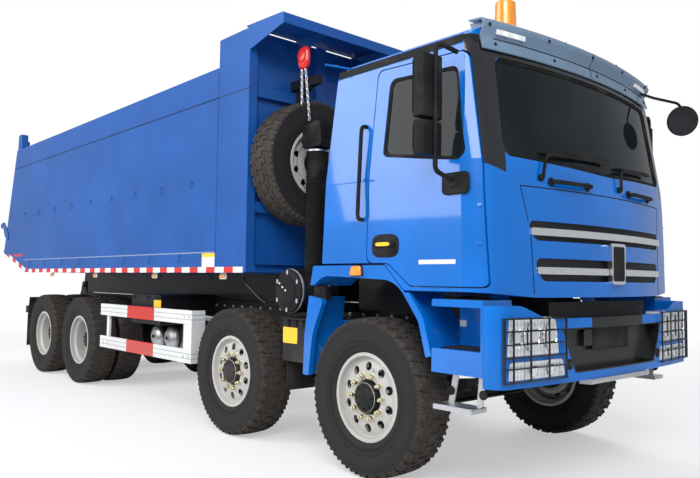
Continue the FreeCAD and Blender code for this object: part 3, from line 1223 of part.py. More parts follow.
def build():
    parts = {"chassis_frame": chassis_frame(), "axles": axles(), "springs": springs(),
             "powertrain": powertrain()}
    parts.update(wheels_and_knuckles())
    parts.update(build_cab())
    parts["grille_bars"] = Part.Compound(grille_bars())
    parts["sun_visor"] = sun_visor()
    parts["beacon"] = beacon()
    parts["front_mirror"] = front_mirror()
    parts["left_mirrors"] = mirrors()
    parts["right_mirrors"] = mirrored(parts["left_mirrors"])
    parts["front_bumper"] = front_bumper()
    parts["lamps"] = Part.Compound(headlamps() + tail_lamps())
    parts["lamp_guards"] = lamp_guards()
    parts["alloy_steps"] = alloy_steps()
    parts["cab_steps"] = cab_steps()
    parts["front_fenders"] = front_fenders()
    parts["mudflaps"] = mudflaps()
    parts["side_boxes"] = side_boxes()
    parts["air_tanks"] = air_tanks()
    parts["fuel_tank"] = fuel_tank()
    parts["air_intake"] = air_intake()
    parts["side_guards"] = side_guards()
    parts["spare_tyre"], parts["spare_rim"] = spare_wheel()
    parts["spare_bracket"] = spare_bracket()
    parts["bed"] = bed()
    parts["tailgate"] = tailgate()
    parts.update(hoist_parts())
    for name in ("front_fenders", "side_guards"):
        parts[name] = parts[name].cut(parts["chassis_frame"])
    parts["front_fenders"] = parts["front_fenders"].cut(cab_volume(-2 * GAP))
    return parts


def main():
    os.makedirs("parts", exist_ok=True)
    for name, shape in build().items():
        shape.translate(vec(AXLE_1_X, 0, 0))
        shape.exportStep("parts/%s.step" % name)
        box = shape.BoundBox
        print(name, len(shape.Solids), shape.isValid(), [round(v) for v in (
            box.XMin - AXLE_1_X, box.XMax - AXLE_1_X, box.YMin, box.YMax, box.ZMin, box.ZMax)])


main()
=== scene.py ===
"""Finishes, tyres and small fittings of a four-axle dump truck, added to its CAD frame.

Lengths are metres. Fittings are laid out from the first axle: +X forward, +Y the truck's left, +Z up.
"""

import json
import math

import bmesh
import bpy
import numpy as np
from mathutils import Matrix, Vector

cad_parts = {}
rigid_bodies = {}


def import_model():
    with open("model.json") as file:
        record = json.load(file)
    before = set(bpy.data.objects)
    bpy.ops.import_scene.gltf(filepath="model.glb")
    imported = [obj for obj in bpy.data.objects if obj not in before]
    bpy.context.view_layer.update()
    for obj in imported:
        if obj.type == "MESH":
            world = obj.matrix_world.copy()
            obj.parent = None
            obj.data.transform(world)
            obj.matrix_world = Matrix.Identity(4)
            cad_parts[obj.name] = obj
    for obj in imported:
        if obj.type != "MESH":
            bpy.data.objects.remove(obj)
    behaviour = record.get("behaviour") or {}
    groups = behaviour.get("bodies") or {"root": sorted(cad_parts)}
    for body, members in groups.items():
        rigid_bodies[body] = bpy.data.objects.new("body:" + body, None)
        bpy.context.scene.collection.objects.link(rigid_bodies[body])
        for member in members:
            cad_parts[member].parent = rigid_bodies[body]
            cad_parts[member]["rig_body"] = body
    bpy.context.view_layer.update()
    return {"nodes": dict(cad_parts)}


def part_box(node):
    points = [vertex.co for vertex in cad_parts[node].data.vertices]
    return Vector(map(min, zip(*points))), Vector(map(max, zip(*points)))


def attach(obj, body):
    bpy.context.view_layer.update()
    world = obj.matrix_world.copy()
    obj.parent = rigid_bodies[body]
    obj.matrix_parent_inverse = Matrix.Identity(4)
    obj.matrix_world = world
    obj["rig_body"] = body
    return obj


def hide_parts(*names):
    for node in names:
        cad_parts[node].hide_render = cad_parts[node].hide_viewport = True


bl_info = {
    "name": "Dump Truck",
    "version": (1, 0, 0),
    "blender": (4, 5, 0),
    "location": "3D View > Sidebar > Dump Truck",
    "description": "Finishes, tyres and fittings of a four-axle dump truck",
    "category": "Object",
}

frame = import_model()


def middle(node):
    """Centre of a CAD node's box."""
    low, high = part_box(node)
    return (low + high) / 2


AXLE_1 = middle("tyre_1_right").x
TYRE_RADIUS = (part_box("tyre_1_right")[1].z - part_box("tyre_1_right")[0].z) / 2
TYRE_HALF = (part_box("tyre_1_right")[1].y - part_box("tyre_1_right")[0].y) / 2
FINISHES = {}

# Local (across, up, outwards) axes of a fitting that faces each way.
RIGHT = np.array(((1, 0, 0), (0, 0, 1), (0, -1, 0)), float).T
LEFT = np.array(((1, 0, 0), (0, 0, 1), (0, 1, 0)), float).T
FRONT = np.array(((0, 1, 0), (0, 0, 1), (1, 0, 0)), float).T
REAR = np.array(((0, 1, 0), (0, 0, 1), (-1, 0, 0)), float).T
TOP = np.array(((1, 0, 0), (0, 1, 0), (0, 0, 1)), float).T
WHEEL_Y_TURN = np.array(((0, 0, 1), (1, 0, 0), (0, 1, 0)), float).T   # outwards along +Y
WHEEL_X_TURN = np.array(((0, 1, 0), (0, 0, 1), (1, 0, 0)), float).T   # outwards along +X
AHEAD = (1.0, 0, 0)
ASIDE = (0, -1.0, 0)
SIDES = (("left", 1), ("right", -1))


# ---- finishes -----------------------------------------------------------------------------------
class Value:
    """A number that varies over a surface; arithmetic on it adds Math nodes."""

    def __init__(self, finish, socket):
        self.finish = finish
        self.socket = socket

    def maths(self, operation, *others):
        values = dict(enumerate((self, *others)))
        return self.finish.node("ShaderNodeMath", {"operation": operation}, values)

    def __add__(self, other):
        return self.maths("ADD", other)

    __radd__ = __add__

    def __sub__(self, other):
        return self.maths("SUBTRACT", other)

    def __rsub__(self, other):
        return self.maths("MULTIPLY_ADD", -1.0, other)

    def __mul__(self, other):
        return self.maths("MULTIPLY", other)

    __rmul__ = __mul__

    def __pow__(self, other):
        return self.maths("POWER", other)

    def __abs__(self):
        return self.maths("ABSOLUTE")

    def least(self, other):
        return self.maths("MINIMUM", other)

    def most(self, other):
        return self.maths("MAXIMUM", other)

    def wave(self, length):
        """Sine of the value with the given wavelength, from 0 to 1."""
        return 0.5 + 0.5 * (self * (2 * math.pi / length)).maths("SINE")

    def rise(self, low, high):
        """Smooth step from 0 at low to 1 at high; low may be the greater."""
        settings = {"interpolation_type": "SMOOTHSTEP"}
        values = {"Value": self, "From Min": low, "From Max": high}
        return self.finish.node("ShaderNodeMapRange", settings, values)

    def within(self, low, high, soft=0.002):
        """1 between low and high, 0 outside."""
        return self.rise(low - soft, low + soft) * self.rise(high + soft, high - soft)


class Finish:
    """A material made of nodes on Object coordinates, with one Principled shader."""

    def __init__(self, name, **constants):
        self.material = bpy.data.materials.new(name)
        self.material.use_nodes = True
        self.tree = self.material.node_tree
        self.shader = self.tree.nodes["Principled BSDF"]
        for socket, number in constants.items():
            self.shader.inputs[socket.replace("_", " ")].default_value = number
        self.place = self.node("ShaderNodeTexCoord", output="Object")
        FINISHES[name] = self.material

    def node(self, kind, settings=None, values=None, output=0):
        """Adds a node with its settings, then its sockets' values or links, and gives one output."""
        made = self.tree.nodes.new(kind)
        for key, setting in (settings or {}).items():
            setattr(made, key, setting)
        for key, value in (values or {}).items():
            if isinstance(value, Value):
                self.tree.links.new(value.socket, made.inputs[key])
            else:
                made.inputs[key].default_value = value
        return Value(self, made.outputs[output])

    def feed(self, **values):
        for socket, value in values.items():
            self.tree.links.new(value.socket, self.shader.inputs[socket.replace("_", " ")])

    def along(self, axis):
        """Distance along X from the first axle, or along Y or Z, in metres."""
        value = self.node("ShaderNodeSeparateXYZ", None, {0: self.place}, axis)
        return value - AXLE_1 if axis == "X" else value

    def noise(self, scale, detail=3.0, stretch=(1, 1, 1)):
        """Cloudy value round 0.5, with about scale lumps to the metre."""
        place = self.node("ShaderNodeMapping", None, {"Vector": self.place, "Scale": stretch})
        values = {"Vector": place, "Scale": scale, "Detail": detail}
        return self.node("ShaderNodeTexNoise", None, values)

    def cells(self, scale):
        """Distance from the middles of scattered cells."""
        values = {"Vector": self.place, "Scale": scale}
        return self.node("ShaderNodeTexVoronoi", None, values, "Distance")

    def blend(self, factor, first, second):
        """Colour between first and second."""
        first = first if isinstance(first, Value) else (*first, 1)
        second = second if isinstance(second, Value) else (*second, 1)
        return self.node("ShaderNodeMix", {"data_type": "RGBA"}, {0: factor, 6: first, 7: second}, 2)

    def attribute(self, name):
        return self.node("ShaderNodeAttribute", {"attribute_name": name}, None, "Fac")

    def relief(self, height, distance, strength=1.0):
        """Feeds Normal with a bump of that height, in metres."""
        values = {"Height": height, "Distance": distance, "Strength": strength}
        self.feed(Normal=self.node("ShaderNodeBump", None, values))


ROAD_DUST = (0.20, 0.17, 0.135)
FINE_DUST = (0.2, 0.18, 0.15)
TREAD_DUST = (0.095, 0.078, 0.064)
SOIL = (0.22, 0.19, 0.16)
STEP_SOIL = (0.2, 0.17, 0.14)
OILY_SOIL = (0.17, 0.145, 0.115)
RUST = (0.13, 0.05, 0.02)


def paler(colour, amount):
    """The colour times an amount, kept within 0 to 1."""
    return tuple(min(1.0, channel * amount) for channel in tuple(colour)[:3])


def paint(name, colour, roughness, coat, dust, dust_top, streak, marks=None):
    """Gloss paint: faint cloudiness, orange peel, rain streaks, and road dust below dust_top."""
    finish = Finish(name, Specular_IOR_Level=0.16, Coat_Roughness=0.05)
    cloud = finish.noise(1.6, 4)
    fine = finish.noise(38, 4)
    base = finish.blend(cloud.rise(0.3, 0.7), paler(colour, 0.9), paler(colour, 1.1))
    run = finish.noise(7, 3, (1, 1, 0.08)).rise(0.52, 0.78) * streak
    low = finish.along("Z").rise(dust_top, 0.3) * finish.noise(3.2, 5).rise(0.3, 0.75) * dust
    film = (low + run * 0.25).least(0.8)
    # marks paints each finish's own markings and, on the cab, bumper, bed and guards, painted shade and
    # painted highlights
    if marks:
        base = marks(finish, base)
    finish.feed(Base_Color=finish.blend(film, base, ROAD_DUST))
    finish.feed(Roughness=roughness + 0.08 * fine + film * 0.45)
    finish.feed(Coat_Weight=(1.0 - film) * coat)
    finish.relief(finish.noise(150, 2) * 0.3 + fine * 0.7, 0.0002, 0.12)
    return finish


def plastic(name, colour, roughness=0.55, grain=420, dust=0.3):
    """Moulded plastic or rubber trim: leathery grain, rubbed patches and dust."""
    finish = Finish(name, Specular_IOR_Level=0.14)
    cloud = finish.noise(5, 4)
    film = cloud.rise(0.45, 0.75) * dust + finish.along("Z").rise(1.2, 0.3) * dust * 0.6
    base = finish.blend(cloud, paler(colour, 0.8), paler(colour, 1.25))
    finish.feed(Base_Color=finish.blend(film, base, FINE_DUST))
    finish.feed(Roughness=roughness + 0.2 * cloud + 0.15 * film)
    finish.relief(finish.cells(grain) * 0.5 + finish.noise(grain / 2) * 0.5, 0.0005, 0.4)
    return finish


def metal(name, colour, roughness, brushed, soil):
    """Bare or plated metal: brushed or rolled marks, finger-dull patches, soil in the low places."""
    finish = Finish(name)
    cloud = finish.noise(4, 5)
    lines = finish.noise(60, 4, brushed)
    film = cloud.rise(0.48, 0.8) * soil
    base = finish.blend(lines, paler(colour, 0.85), paler(colour, 1.1))
    finish.feed(Base_Color=finish.blend(film, base, SOIL))
    finish.feed(Metallic=1.0 - film * 0.9)
    finish.feed(Roughness=roughness + 0.12 * lines + film * 0.6)
    finish.relief(lines, 0.0003, 0.35)
    return finish


def casting(name, colour, roughness=0.6):
    """Sand-cast or forged iron under worn black paint, with oily soil and rust freckles."""
    finish = Finish(name, Specular_IOR_Level=0.16)
    lumps = finish.noise(34, 6)
    soil = finish.noise(2.5, 5).rise(0.4, 0.75) * 0.5
    rust = finish.noise(46, 5).rise(0.62, 0.7) * 0.5
    base = finish.blend(lumps, paler(colour, 0.7), paler(colour, 1.5))
    base = finish.blend(soil, base, OILY_SOIL)
    finish.feed(Base_Color=finish.blend(rust, base, RUST))
    finish.feed(Roughness=roughness + 0.25 * lumps)
    finish.relief(lumps * 0.7 + finish.noise(300) * 0.3, 0.0015, 0.5)
    return finish


def glazing(name, colour, alpha, roughness=0.02):
    """Tinted glass: dark, glossy and partly clear, with a faint film towards its edges."""
    finish = Finish(name, IOR=1.45, Specular_IOR_Level=0.16)
    film = finish.noise(2.2, 5)
    finish.feed(Base_Color=finish.blend(film.rise(0.3, 0.8), colour, paler(colour, 1.8)))
    finish.feed(Roughness=roughness + 0.05 * film.rise(0.45, 0.8))
    finish.feed(Alpha=alpha + 0.06 * film)
    finish.relief(finish.noise(3, 1), 0.0004, 0.2)
    return finish


def tyre_rubber(colour):
    """Tyre: dusty brown in the tread's grooves, charcoal walls with moulded rings at fixed radii."""
    finish = Finish("tyre", Specular_IOR_Level=0.12)
    dust = finish.attribute("dust")
    radius = finish.attribute("radius")
    cloud = finish.noise(9, 5)
    fine = finish.noise(90, 4)
    film = dust * (0.45 + 0.9 * cloud)
    base = finish.blend(fine, paler(colour, 0.75), paler(colour, 1.3))
    rings = radius.wave(0.0085) * radius.within(0.335, 0.36, 0.003)
    rings = rings + radius.within(0.378, 0.384) + radius.within(0.466, 0.47) * 0.8
    rings = rings + radius.wave(0.012) * radius.within(0.478, 0.5, 0.003) * 0.5
    base = finish.blend(rings * 0.6, base, paler(colour, 0.25))
    finish.feed(Base_Color=finish.blend(film.least(0.9), base, TREAD_DUST))
    finish.feed(Roughness=0.55 + 0.3 * film + 0.1 * fine)
    finish.relief(rings * 0.8 + fine * 0.22, 0.0035, 1.0)
    return finish


def tread_plate(name, colour):
    """Aluminium step plate with raised crossing lozenges."""
    finish = Finish(name)
    one = finish.along("X") + finish.along("Y")
    two = finish.along("X") - finish.along("Y")
    bars = one.wave(0.034) ** 6 * two.wave(0.068).rise(0.5, 0.8)
    bars = bars + two.wave(0.034) ** 6 * two.wave(0.068).rise(0.5, 0.2)
    soil = finish.noise(12, 5).rise(0.35, 0.75) * 0.5
    finish.feed(Base_Color=finish.blend((1.0 - bars) * soil, colour, STEP_SOIL))
    finish.feed(Metallic=1.0 - (1.0 - bars) * soil * 0.8)
    finish.feed(Roughness=0.3 + soil * 0.5)
    finish.relief(bars, 0.002, 0.9)
    return finish


def mesh_screen(name, colour):
    """Black expanded-metal screen behind the grille bars."""
    finish = Finish(name, Specular_IOR_Level=0.4)
    one = (finish.along("Y") + finish.along("Z") * 1.7).wave(0.022)
    two = (finish.along("Y") - finish.along("Z") * 1.7).wave(0.022)
    strands = one.most(two).rise(0.55, 0.85)
    finish.feed(Base_Color=finish.blend(strands, (0.002, 0.002, 0.002), colour))
    finish.feed(Roughness=0.75 - 0.3 * strands + 0.1 * finish.noise(30))
    finish.relief(strands, 0.004, 1.0)
    return finish


def lamp_lens(name):
    """Clear lens over a facetted reflector; the tail units are red with an amber row."""
    finish = Finish(name, Specular_IOR_Level=0.6, Coat_Weight=1.0, Coat_Roughness=0.03)
    columns = finish.along("Y").wave(0.03)
    rows = finish.along("Z").wave(0.05)
    cells = columns * 0.6 + rows * 0.4
    rear = finish.along("X").rise(-4.0, -5.0)
    shade = finish.noise(14, 3)
    front = finish.blend(cells * 0.7 + shade * 0.3, (0.42, 0.45, 0.48), (0.93, 0.95, 0.97))
    back = finish.blend(finish.along("Y").wave(0.34).rise(0.7, 0.8), (0.42, 0.01, 0.008), (0.8, 0.22, 0.01))
    finish.feed(Base_Color=finish.blend(rear, front, back))
    finish.feed(Metallic=(1.0 - rear) * 0.35)
    finish.feed(Roughness=0.12 + 0.14 * shade)
    finish.relief(cells, 0.003, 0.6)
    return finish


def fluted_lens(name, colour):
    """Moulded lens with upright flutes."""
    finish = Finish(name, Specular_IOR_Level=0.6, Coat_Weight=0.6)
    flutes = finish.along("Y").wave(0.016) * 0.5 + finish.along("X").wave(0.016) * 0.5
    finish.feed(Base_Color=finish.blend(flutes, paler(colour, 0.7), paler(colour, 1.15)))
    finish.feed(Roughness=0.2 + 0.15 * finish.noise(30))
    finish.relief(flutes, 0.001, 0.6)
    return finish


def reflective_tape(name, colour, block):
    """Tape in blocks of white and the colour, with a faint honeycomb."""
    finish = Finish(name)
    coloured = finish.along("X").wave(block * 2).rise(0.48, 0.52)
    honey = finish.cells(140)
    white = finish.blend(honey, (0.62, 0.62, 0.6), (0.8, 0.8, 0.78))
    shade = finish.blend(honey, paler(colour, 0.8), paler(colour, 1.2))
    finish.feed(Base_Color=finish.blend(coloured, white, shade))
    finish.feed(Roughness=0.25 + 0.3 * finish.noise(20))
    finish.relief(honey, 0.0006, 0.5)
    return finish


def guard_marks(finish, base):
    """Red reflective length on both side rails, and the grooves' shade along them."""
    block = finish.along("X").within(-3.73, -3.1)
    red = finish.blend(finish.noise(50), (0.42, 0.012, 0.01), (0.62, 0.03, 0.02))
    base = finish.blend(block, base, red)
    upper = finish.along("Z").within(0.94, 0.948) + finish.along("Z").within(0.984, 0.992)
    lower = finish.along("Z").within(0.578, 0.586) + finish.along("Z").within(0.622, 0.63)
    return finish.blend((upper + lower) * 0.55, base, (0.08, 0.08, 0.08))


def cab_covers_and_shade(finish, base):
    """Black pillar covers between the door and the windscreen, and painted shade: a black band on the cab
    above the screen, under the sun visor.
    """
    x = finish.along("X")
    z = finish.along("Z")
    y = abs(finish.along("Y"))
    door_edge = (x + (z - 2.03) * 0.155).rise(0.926, 0.930)
    # over_screen: painted shade in black under the sun visor
    over_screen = z.rise(2.725, 2.73) * (x + (z - 2.73) * 0.2).rise(0.9, 0.905)
    beside = (y + (z - 2.1) * 0.055).rise(1.022, 1.026)
    foot = (z - abs(y - 1.03) * 0.32).rise(1.992, 1.998)
    side = door_edge * beside * foot * z.rise(2.87, 2.866)
    black = side.most(over_screen * z.rise(2.90, 2.896))
    return finish.blend(black, base, (0.012, 0.013, 0.016))


def bumper_recess_shade(finish, base):
    """Painted shade: black inside the recess in the bumper's middle, on the faces set back behind its front,
    and along the top of its middle.
    """
    y = abs(finish.along("Y"))
    z = finish.along("Z")
    inside = (y - (z - 0.78) * 0.47).rise(0.548, 0.544) * z.within(0.772, 1.052)
    behind = finish.along("X").rise(1.163, 1.16) * y.rise(0.7, 0.69)
    band = y.rise(0.35, 0.347) * z.rise(1.045, 1.049)
    # black: painted shade in the recess, behind the front and along the top middle
    black = inside.most(behind).most(band)
    return finish.blend(black, base, (0.009, 0.0095, 0.010))


def bed_painted_light(finish, base):
    """Painted light on the bed's sides: a painted highlight along the fold over the sill, painted shade under
    the top rail, and painted shade in black on the beams below the bed.
    """
    side = abs(finish.along("Y")).rise(1.235, 1.245)
    # lit: a painted highlight along the lower fold of the sides
    lit = finish.along("Z").within(1.562, 1.574, 0.004) * finish.along("X").within(-7.25, -1.97, 0.01)
    # dark: painted shade under the top rail
    dark = finish.along("Z").within(2.956, 2.968, 0.004)
    base = finish.blend(side * lit * 0.5, base, (0.42, 0.48, 0.6))
    base = finish.blend(side * dark * 0.7, base, (0.004, 0.012, 0.03))
    # Black below the bed's floor is painted shade on the beams under the bed
    return finish.blend(finish.along("Z").rise(1.388, 1.382), base, (0.006, 0.007, 0.009))


# ---- shapes -------------------------------------------------------------------------------------
def skin(points, closed=False):
    """Quads over a grid (rows, columns, 3) whose rows are rings; closed joins last row to first,
    otherwise the first and last rings are capped."""
    rows, columns = points.shape[:2]
    index = np.arange(rows * columns).reshape(rows, columns)
    wrapped = np.concatenate((index, index[:, :1]), 1)
    if closed:
        wrapped = np.concatenate((wrapped, wrapped[:1]), 0)
    quads = np.stack((wrapped[:-1, :-1], wrapped[:-1, 1:], wrapped[1:, 1:], wrapped[1:, :-1]), -1)
    faces = quads.reshape(-1, 4).tolist()
    if not closed:
        faces += [index[0][::-1].tolist(), index[-1].tolist()]
    return points.reshape(-1, 3), faces


def joined(*shapes):
    """Several shapes as one list of points and faces."""
    faces = []
    start = 0
    for points, shape_faces in shapes:
        faces += [[corner + start for corner in face] for face in shape_faces]
        start += len(points)
    return np.concatenate([points for points, _ in shapes]), faces


def placed(shape, place, turn=TOP):
    """The shape turned by a matrix and moved to a place."""
    return shape[0] @ turn.T + np.array(place, float), shape[1]


def scattered(shape, places, turn=TOP):
    """A copy of the shape at every place: points plus places, all at once."""
    places = np.array(places, float)
    points = (shape[0] @ turn.T)[None] + places[:, None]
    count = len(shape[0])
    faces = [[corner + copy * count for corner in face] for copy in range(len(places)) for face in shape[1]]
    return points.reshape(-1, 3), faces


def both(shape):
    """The shape and its mirror across the truck's middle."""
    return joined(shape, (shape[0] * (1, -1, 1), shape[1]))


def ring(radius, sides, start=0.0):
    """Circle as (across, up) pairs: radius times cosine and sine."""
    turn = np.linspace(0, 2 * math.pi, sides, endpoint=False) + start
    return np.stack((np.cos(turn), np.sin(turn)), -1) * radius


def rounded(width, height, radius, steps=4):
    """Rectangle about the origin with a quarter circle at each corner."""
    sweep = np.linspace(0, math.pi / 2, steps)
    turn = (sweep[None] + np.arange(4)[:, None] * math.pi / 2)
    signs = np.array(((1, 1), (-1, 1), (-1, -1), (1, -1)), float)
    centres = signs * (width / 2 - radius, height / 2 - radius)
    arcs = np.stack((np.cos(turn), np.sin(turn)), -1) * radius + centres[:, None]
    return arcs.reshape(-1, 2)


def superoval(width, height, power, steps=40):
    """Rounded outline |x/a|^p + |z/b|^p = 1, from signed powers of the cosine and sine."""
    turn = np.linspace(0, 2 * math.pi, steps, endpoint=False)
    across = np.sign(np.cos(turn)) * np.abs(np.cos(turn)) ** (2 / power) * width / 2
    up = np.sign(np.sin(turn)) * np.abs(np.sin(turn)) ** (2 / power) * height / 2
    return np.stack((across, up), -1)


def slab(outline, depth, edge=0.002):
    """A flat outline given depth; its rim is drawn in by edge at the back and the front."""
    outline = np.array(outline, float)
    centre = (outline.max(0) + outline.min(0)) / 2
    half = (outline.max(0) - outline.min(0)) / 2
    inner = centre + (outline - centre) * (1 - edge / half)
    edge = min(edge, depth / 3)
    levels = np.array((0, edge, depth - edge, depth))
    rings = np.stack((inner, outline, outline, inner))
    heights = np.broadcast_to(levels[:, None, None], (4, len(outline), 1))
    return skin(np.concatenate((rings, heights), -1))


def turned(outline, sides=24, closed=False):
    """(radius, height) pairs swept once round the local third axis. A closed outline is a loop that
    joins up with itself; otherwise both ends are capped."""
    outline = np.array(outline, float)
    flat = outline[:, None, :1] * ring(1.0, sides)[None]
    heights = np.broadcast_to(outline[:, None, 1:], (len(outline), sides, 1))
    return skin(np.concatenate((flat, heights), -1), closed)


def carried(path, section, closed=False, up=None):
    """A flat section (across, up) carried along a path. At each place, across is the path's
    direction crossed with a fixed up, and the section's own up is square to both."""
    path = np.array(path, float)
    step = np.roll(path, -1, 0) - np.roll(path, 1, 0) if closed else np.gradient(path, axis=0)
    ahead = step / np.linalg.norm(step, axis=1, keepdims=True)
    up = np.eye(3)[np.argmin(np.abs(ahead).max(0))] if up is None else np.array(up, float)
    across = np.cross(ahead, up)
    across /= np.linalg.norm(across, axis=1, keepdims=True)
    above = np.cross(across, ahead)
    points = path[:, None] + across[:, None] * section[None, :, :1] + above[:, None] * section[None, :, 1:]
    return skin(points, closed)


def bent(corners, reach, steps=6, closed=False):
    """Straight runs whose corners are bowed: each corner c becomes (1-t)^2 a + 2t(1-t) c + t^2 b,
    with a and b on its two runs, reach from the corner."""
    corners = np.array(corners, float)
    before = np.roll(corners, 1, 0) - corners
    after = np.roll(corners, -1, 0) - corners
    length_before = np.linalg.norm(before, axis=1, keepdims=True)
    length_after = np.linalg.norm(after, axis=1, keepdims=True)
    a = corners + before * np.minimum(reach / length_before, 0.48)
    b = corners + after * np.minimum(reach / length_after, 0.48)
    t = np.linspace(0, 1, steps)[None, :, None]
    bows = (1 - t) ** 2 * a[:, None] + 2 * t * (1 - t) * corners[:, None] + t ** 2 * b[:, None]
    if closed:
        return bows.reshape(-1, 3)
    return np.concatenate((corners[:1], bows[1:-1].reshape(-1, 3), corners[-1:]))


def divided(path, length, closed=False):
    """The path read at even distances of about length."""
    path = np.array(path, float)
    if closed:
        path = np.concatenate((path, path[:1]))
    run = np.concatenate(((0,), np.cumsum(np.linalg.norm(np.diff(path, axis=0), axis=1))))
    count = max(4, int(run[-1] / length))
    marks = np.linspace(0, run[-1], count, endpoint=not closed)
    return np.stack([np.interp(marks, run, path[:, axis]) for axis in range(3)], -1)


def laid(points, node, axis, lift=0.0):
    """The points moved along an axis, 'X', 'Y' or 'Z', onto a CAD node's skin, then lifted outwards.
    Outwards is away from the truck's middle for Y, forwards for X and up for Z."""
    points = np.array(points, float) + (AXLE_1, 0, 0)
    mesh = bpy.data.meshes.new("probe")
    mesh.from_pydata(points.tolist(), [], [])
    probe = bpy.data.objects.new("probe", mesh)
    bpy.context.scene.collection.objects.link(probe)
    wrap = probe.modifiers.new("onto", "SHRINKWRAP")
    wrap.target = frame["nodes"][node]
    wrap.wrap_method = "PROJECT"
    for name in "xyz":
        setattr(wrap, "use_project_" + name, name == axis.lower())
    wrap.use_negative_direction = True
    wrap.use_positive_direction = True
    graph = bpy.context.evaluated_depsgraph_get()
    found = np.zeros(len(points) * 3, np.float32)
    probe.evaluated_get(graph).data.vertices.foreach_get("co", found)
    bpy.data.objects.remove(probe)
    bpy.data.meshes.remove(mesh)
    found = found.reshape(-1, 3).astype(float) - (AXLE_1, 0, 0)
    column = "XYZ".index(axis)
    outwards = np.sign(found[:, 1]) if axis == "Y" else 1.0
    found[:, column] += lift * outwards
    return found


def piece(name, shape, finish, body, smooth=35.0, values=None):
    """Makes the object: its place in its mesh, faces outwards, its finish, body and material slot."""
    old = bpy.data.objects.get(name)
    if old:
        bpy.data.objects.remove(old)
    points, faces = shape
    mesh = bpy.data.meshes.new(name)
    mesh.from_pydata((points + (AXLE_1, 0, 0)).tolist(), [], faces)
    if mesh.validate():
        raise RuntimeError(name + " has faulty faces")
    work = bmesh.new()
    work.from_mesh(mesh)
    bmesh.ops.recalc_face_normals(work, faces=work.faces)
    work.to_mesh(mesh)
    work.free()
    mesh.polygons.foreach_set("use_smooth", np.ones(len(mesh.polygons), bool))
    mesh.set_sharp_from_angle(angle=math.radians(smooth))
    for key, numbers in (values or {}).items():
        mesh.attributes.new(key, "FLOAT", "POINT").data.foreach_set("value", numbers.astype(np.float32))
    mesh.materials.append(FINISHES[finish])
    made = bpy.data.objects.new(name, mesh)
    bpy.context.scene.collection.objects.link(made)
    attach(made, body)
    return made


def body_of(node):
    return frame["nodes"][node]["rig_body"]


def strip_along(x0, x1, z0, z1, y, depth=0.0015, radius=0.003):
    """Thin rounded strip on a side face, centred between the given edges."""
    flat = slab(rounded(abs(x1 - x0), abs(z1 - z0), radius, 3), depth, min(0.0006, depth / 3))
    return placed(flat, ((x0 + x1) / 2, y, (z0 + z1) / 2), RIGHT if y < 0 else LEFT)


def hex_bolt(radius, height, washer=1.35):
    """Six-sided head with a bevelled top on a thin washer."""
    head = turned(((radius * 0.98, 0), (radius, height * 0.25), (radius, height * 0.8),
                   (radius * 0.82, height)), 6)
    foot = turned(((radius * washer, 0), (radius * washer, height * 0.18), (radius, height * 0.22)), 10)
    return joined(head, foot)


def round_bolt(radius, height):
    """Domed button head."""
    return turned(((radius, 0), (radius, height * 0.3), (radius * 0.75, height * 0.8),
                   (radius * 0.3, height)), 8)


# ---- tyres and wheels ---------------------------------------------------------------------------
# (distance from the tyre's middle, radius), drawn at SECTION_HALF and SECTION_RADIUS
SECTION_HALF = 0.155
SECTION_RADIUS = 0.540
HALF_SECTION = np.array((
    (0.0, 0.540), (0.034, 0.540), (0.038, 0.5395), (0.046, 0.5395), (0.050, 0.539), (0.078, 0.538),
    (0.082, 0.538), (0.091, 0.537), (0.095, 0.537), (0.122, 0.535), (0.139, 0.532), (0.148, 0.526),
    (0.1535, 0.514), (0.154, 0.505), (0.1535, 0.495), (0.1545, 0.470), (0.1545, 0.440), (0.152, 0.405),
    (0.147, 0.370), (0.139, 0.338), (0.130, 0.314), (0.117, 0.300), (0.104, 0.293)))
TREAD_FOOT = 0.498          # radius above which the lugs are cut
ROW_GAP = (0.036, 0.048)    # groove between the middle and the inner row
OUTER_GAP = (0.080, 0.0925)  # groove between the inner row and the shoulder
SHOULDER = (0.093, 0.1538)
LEAN_START = 0.092          # the shoulder's lugs lean over from here to LEAN_END
LEAN_END = 0.152
LEAN = 0.22                 # in pitches
WALL = 0.1505               # the grooves run out sideways beyond this
CUTS = np.array((0.0, 0.035, 0.30, 0.335, 0.5, 0.535, 0.80, 0.835))


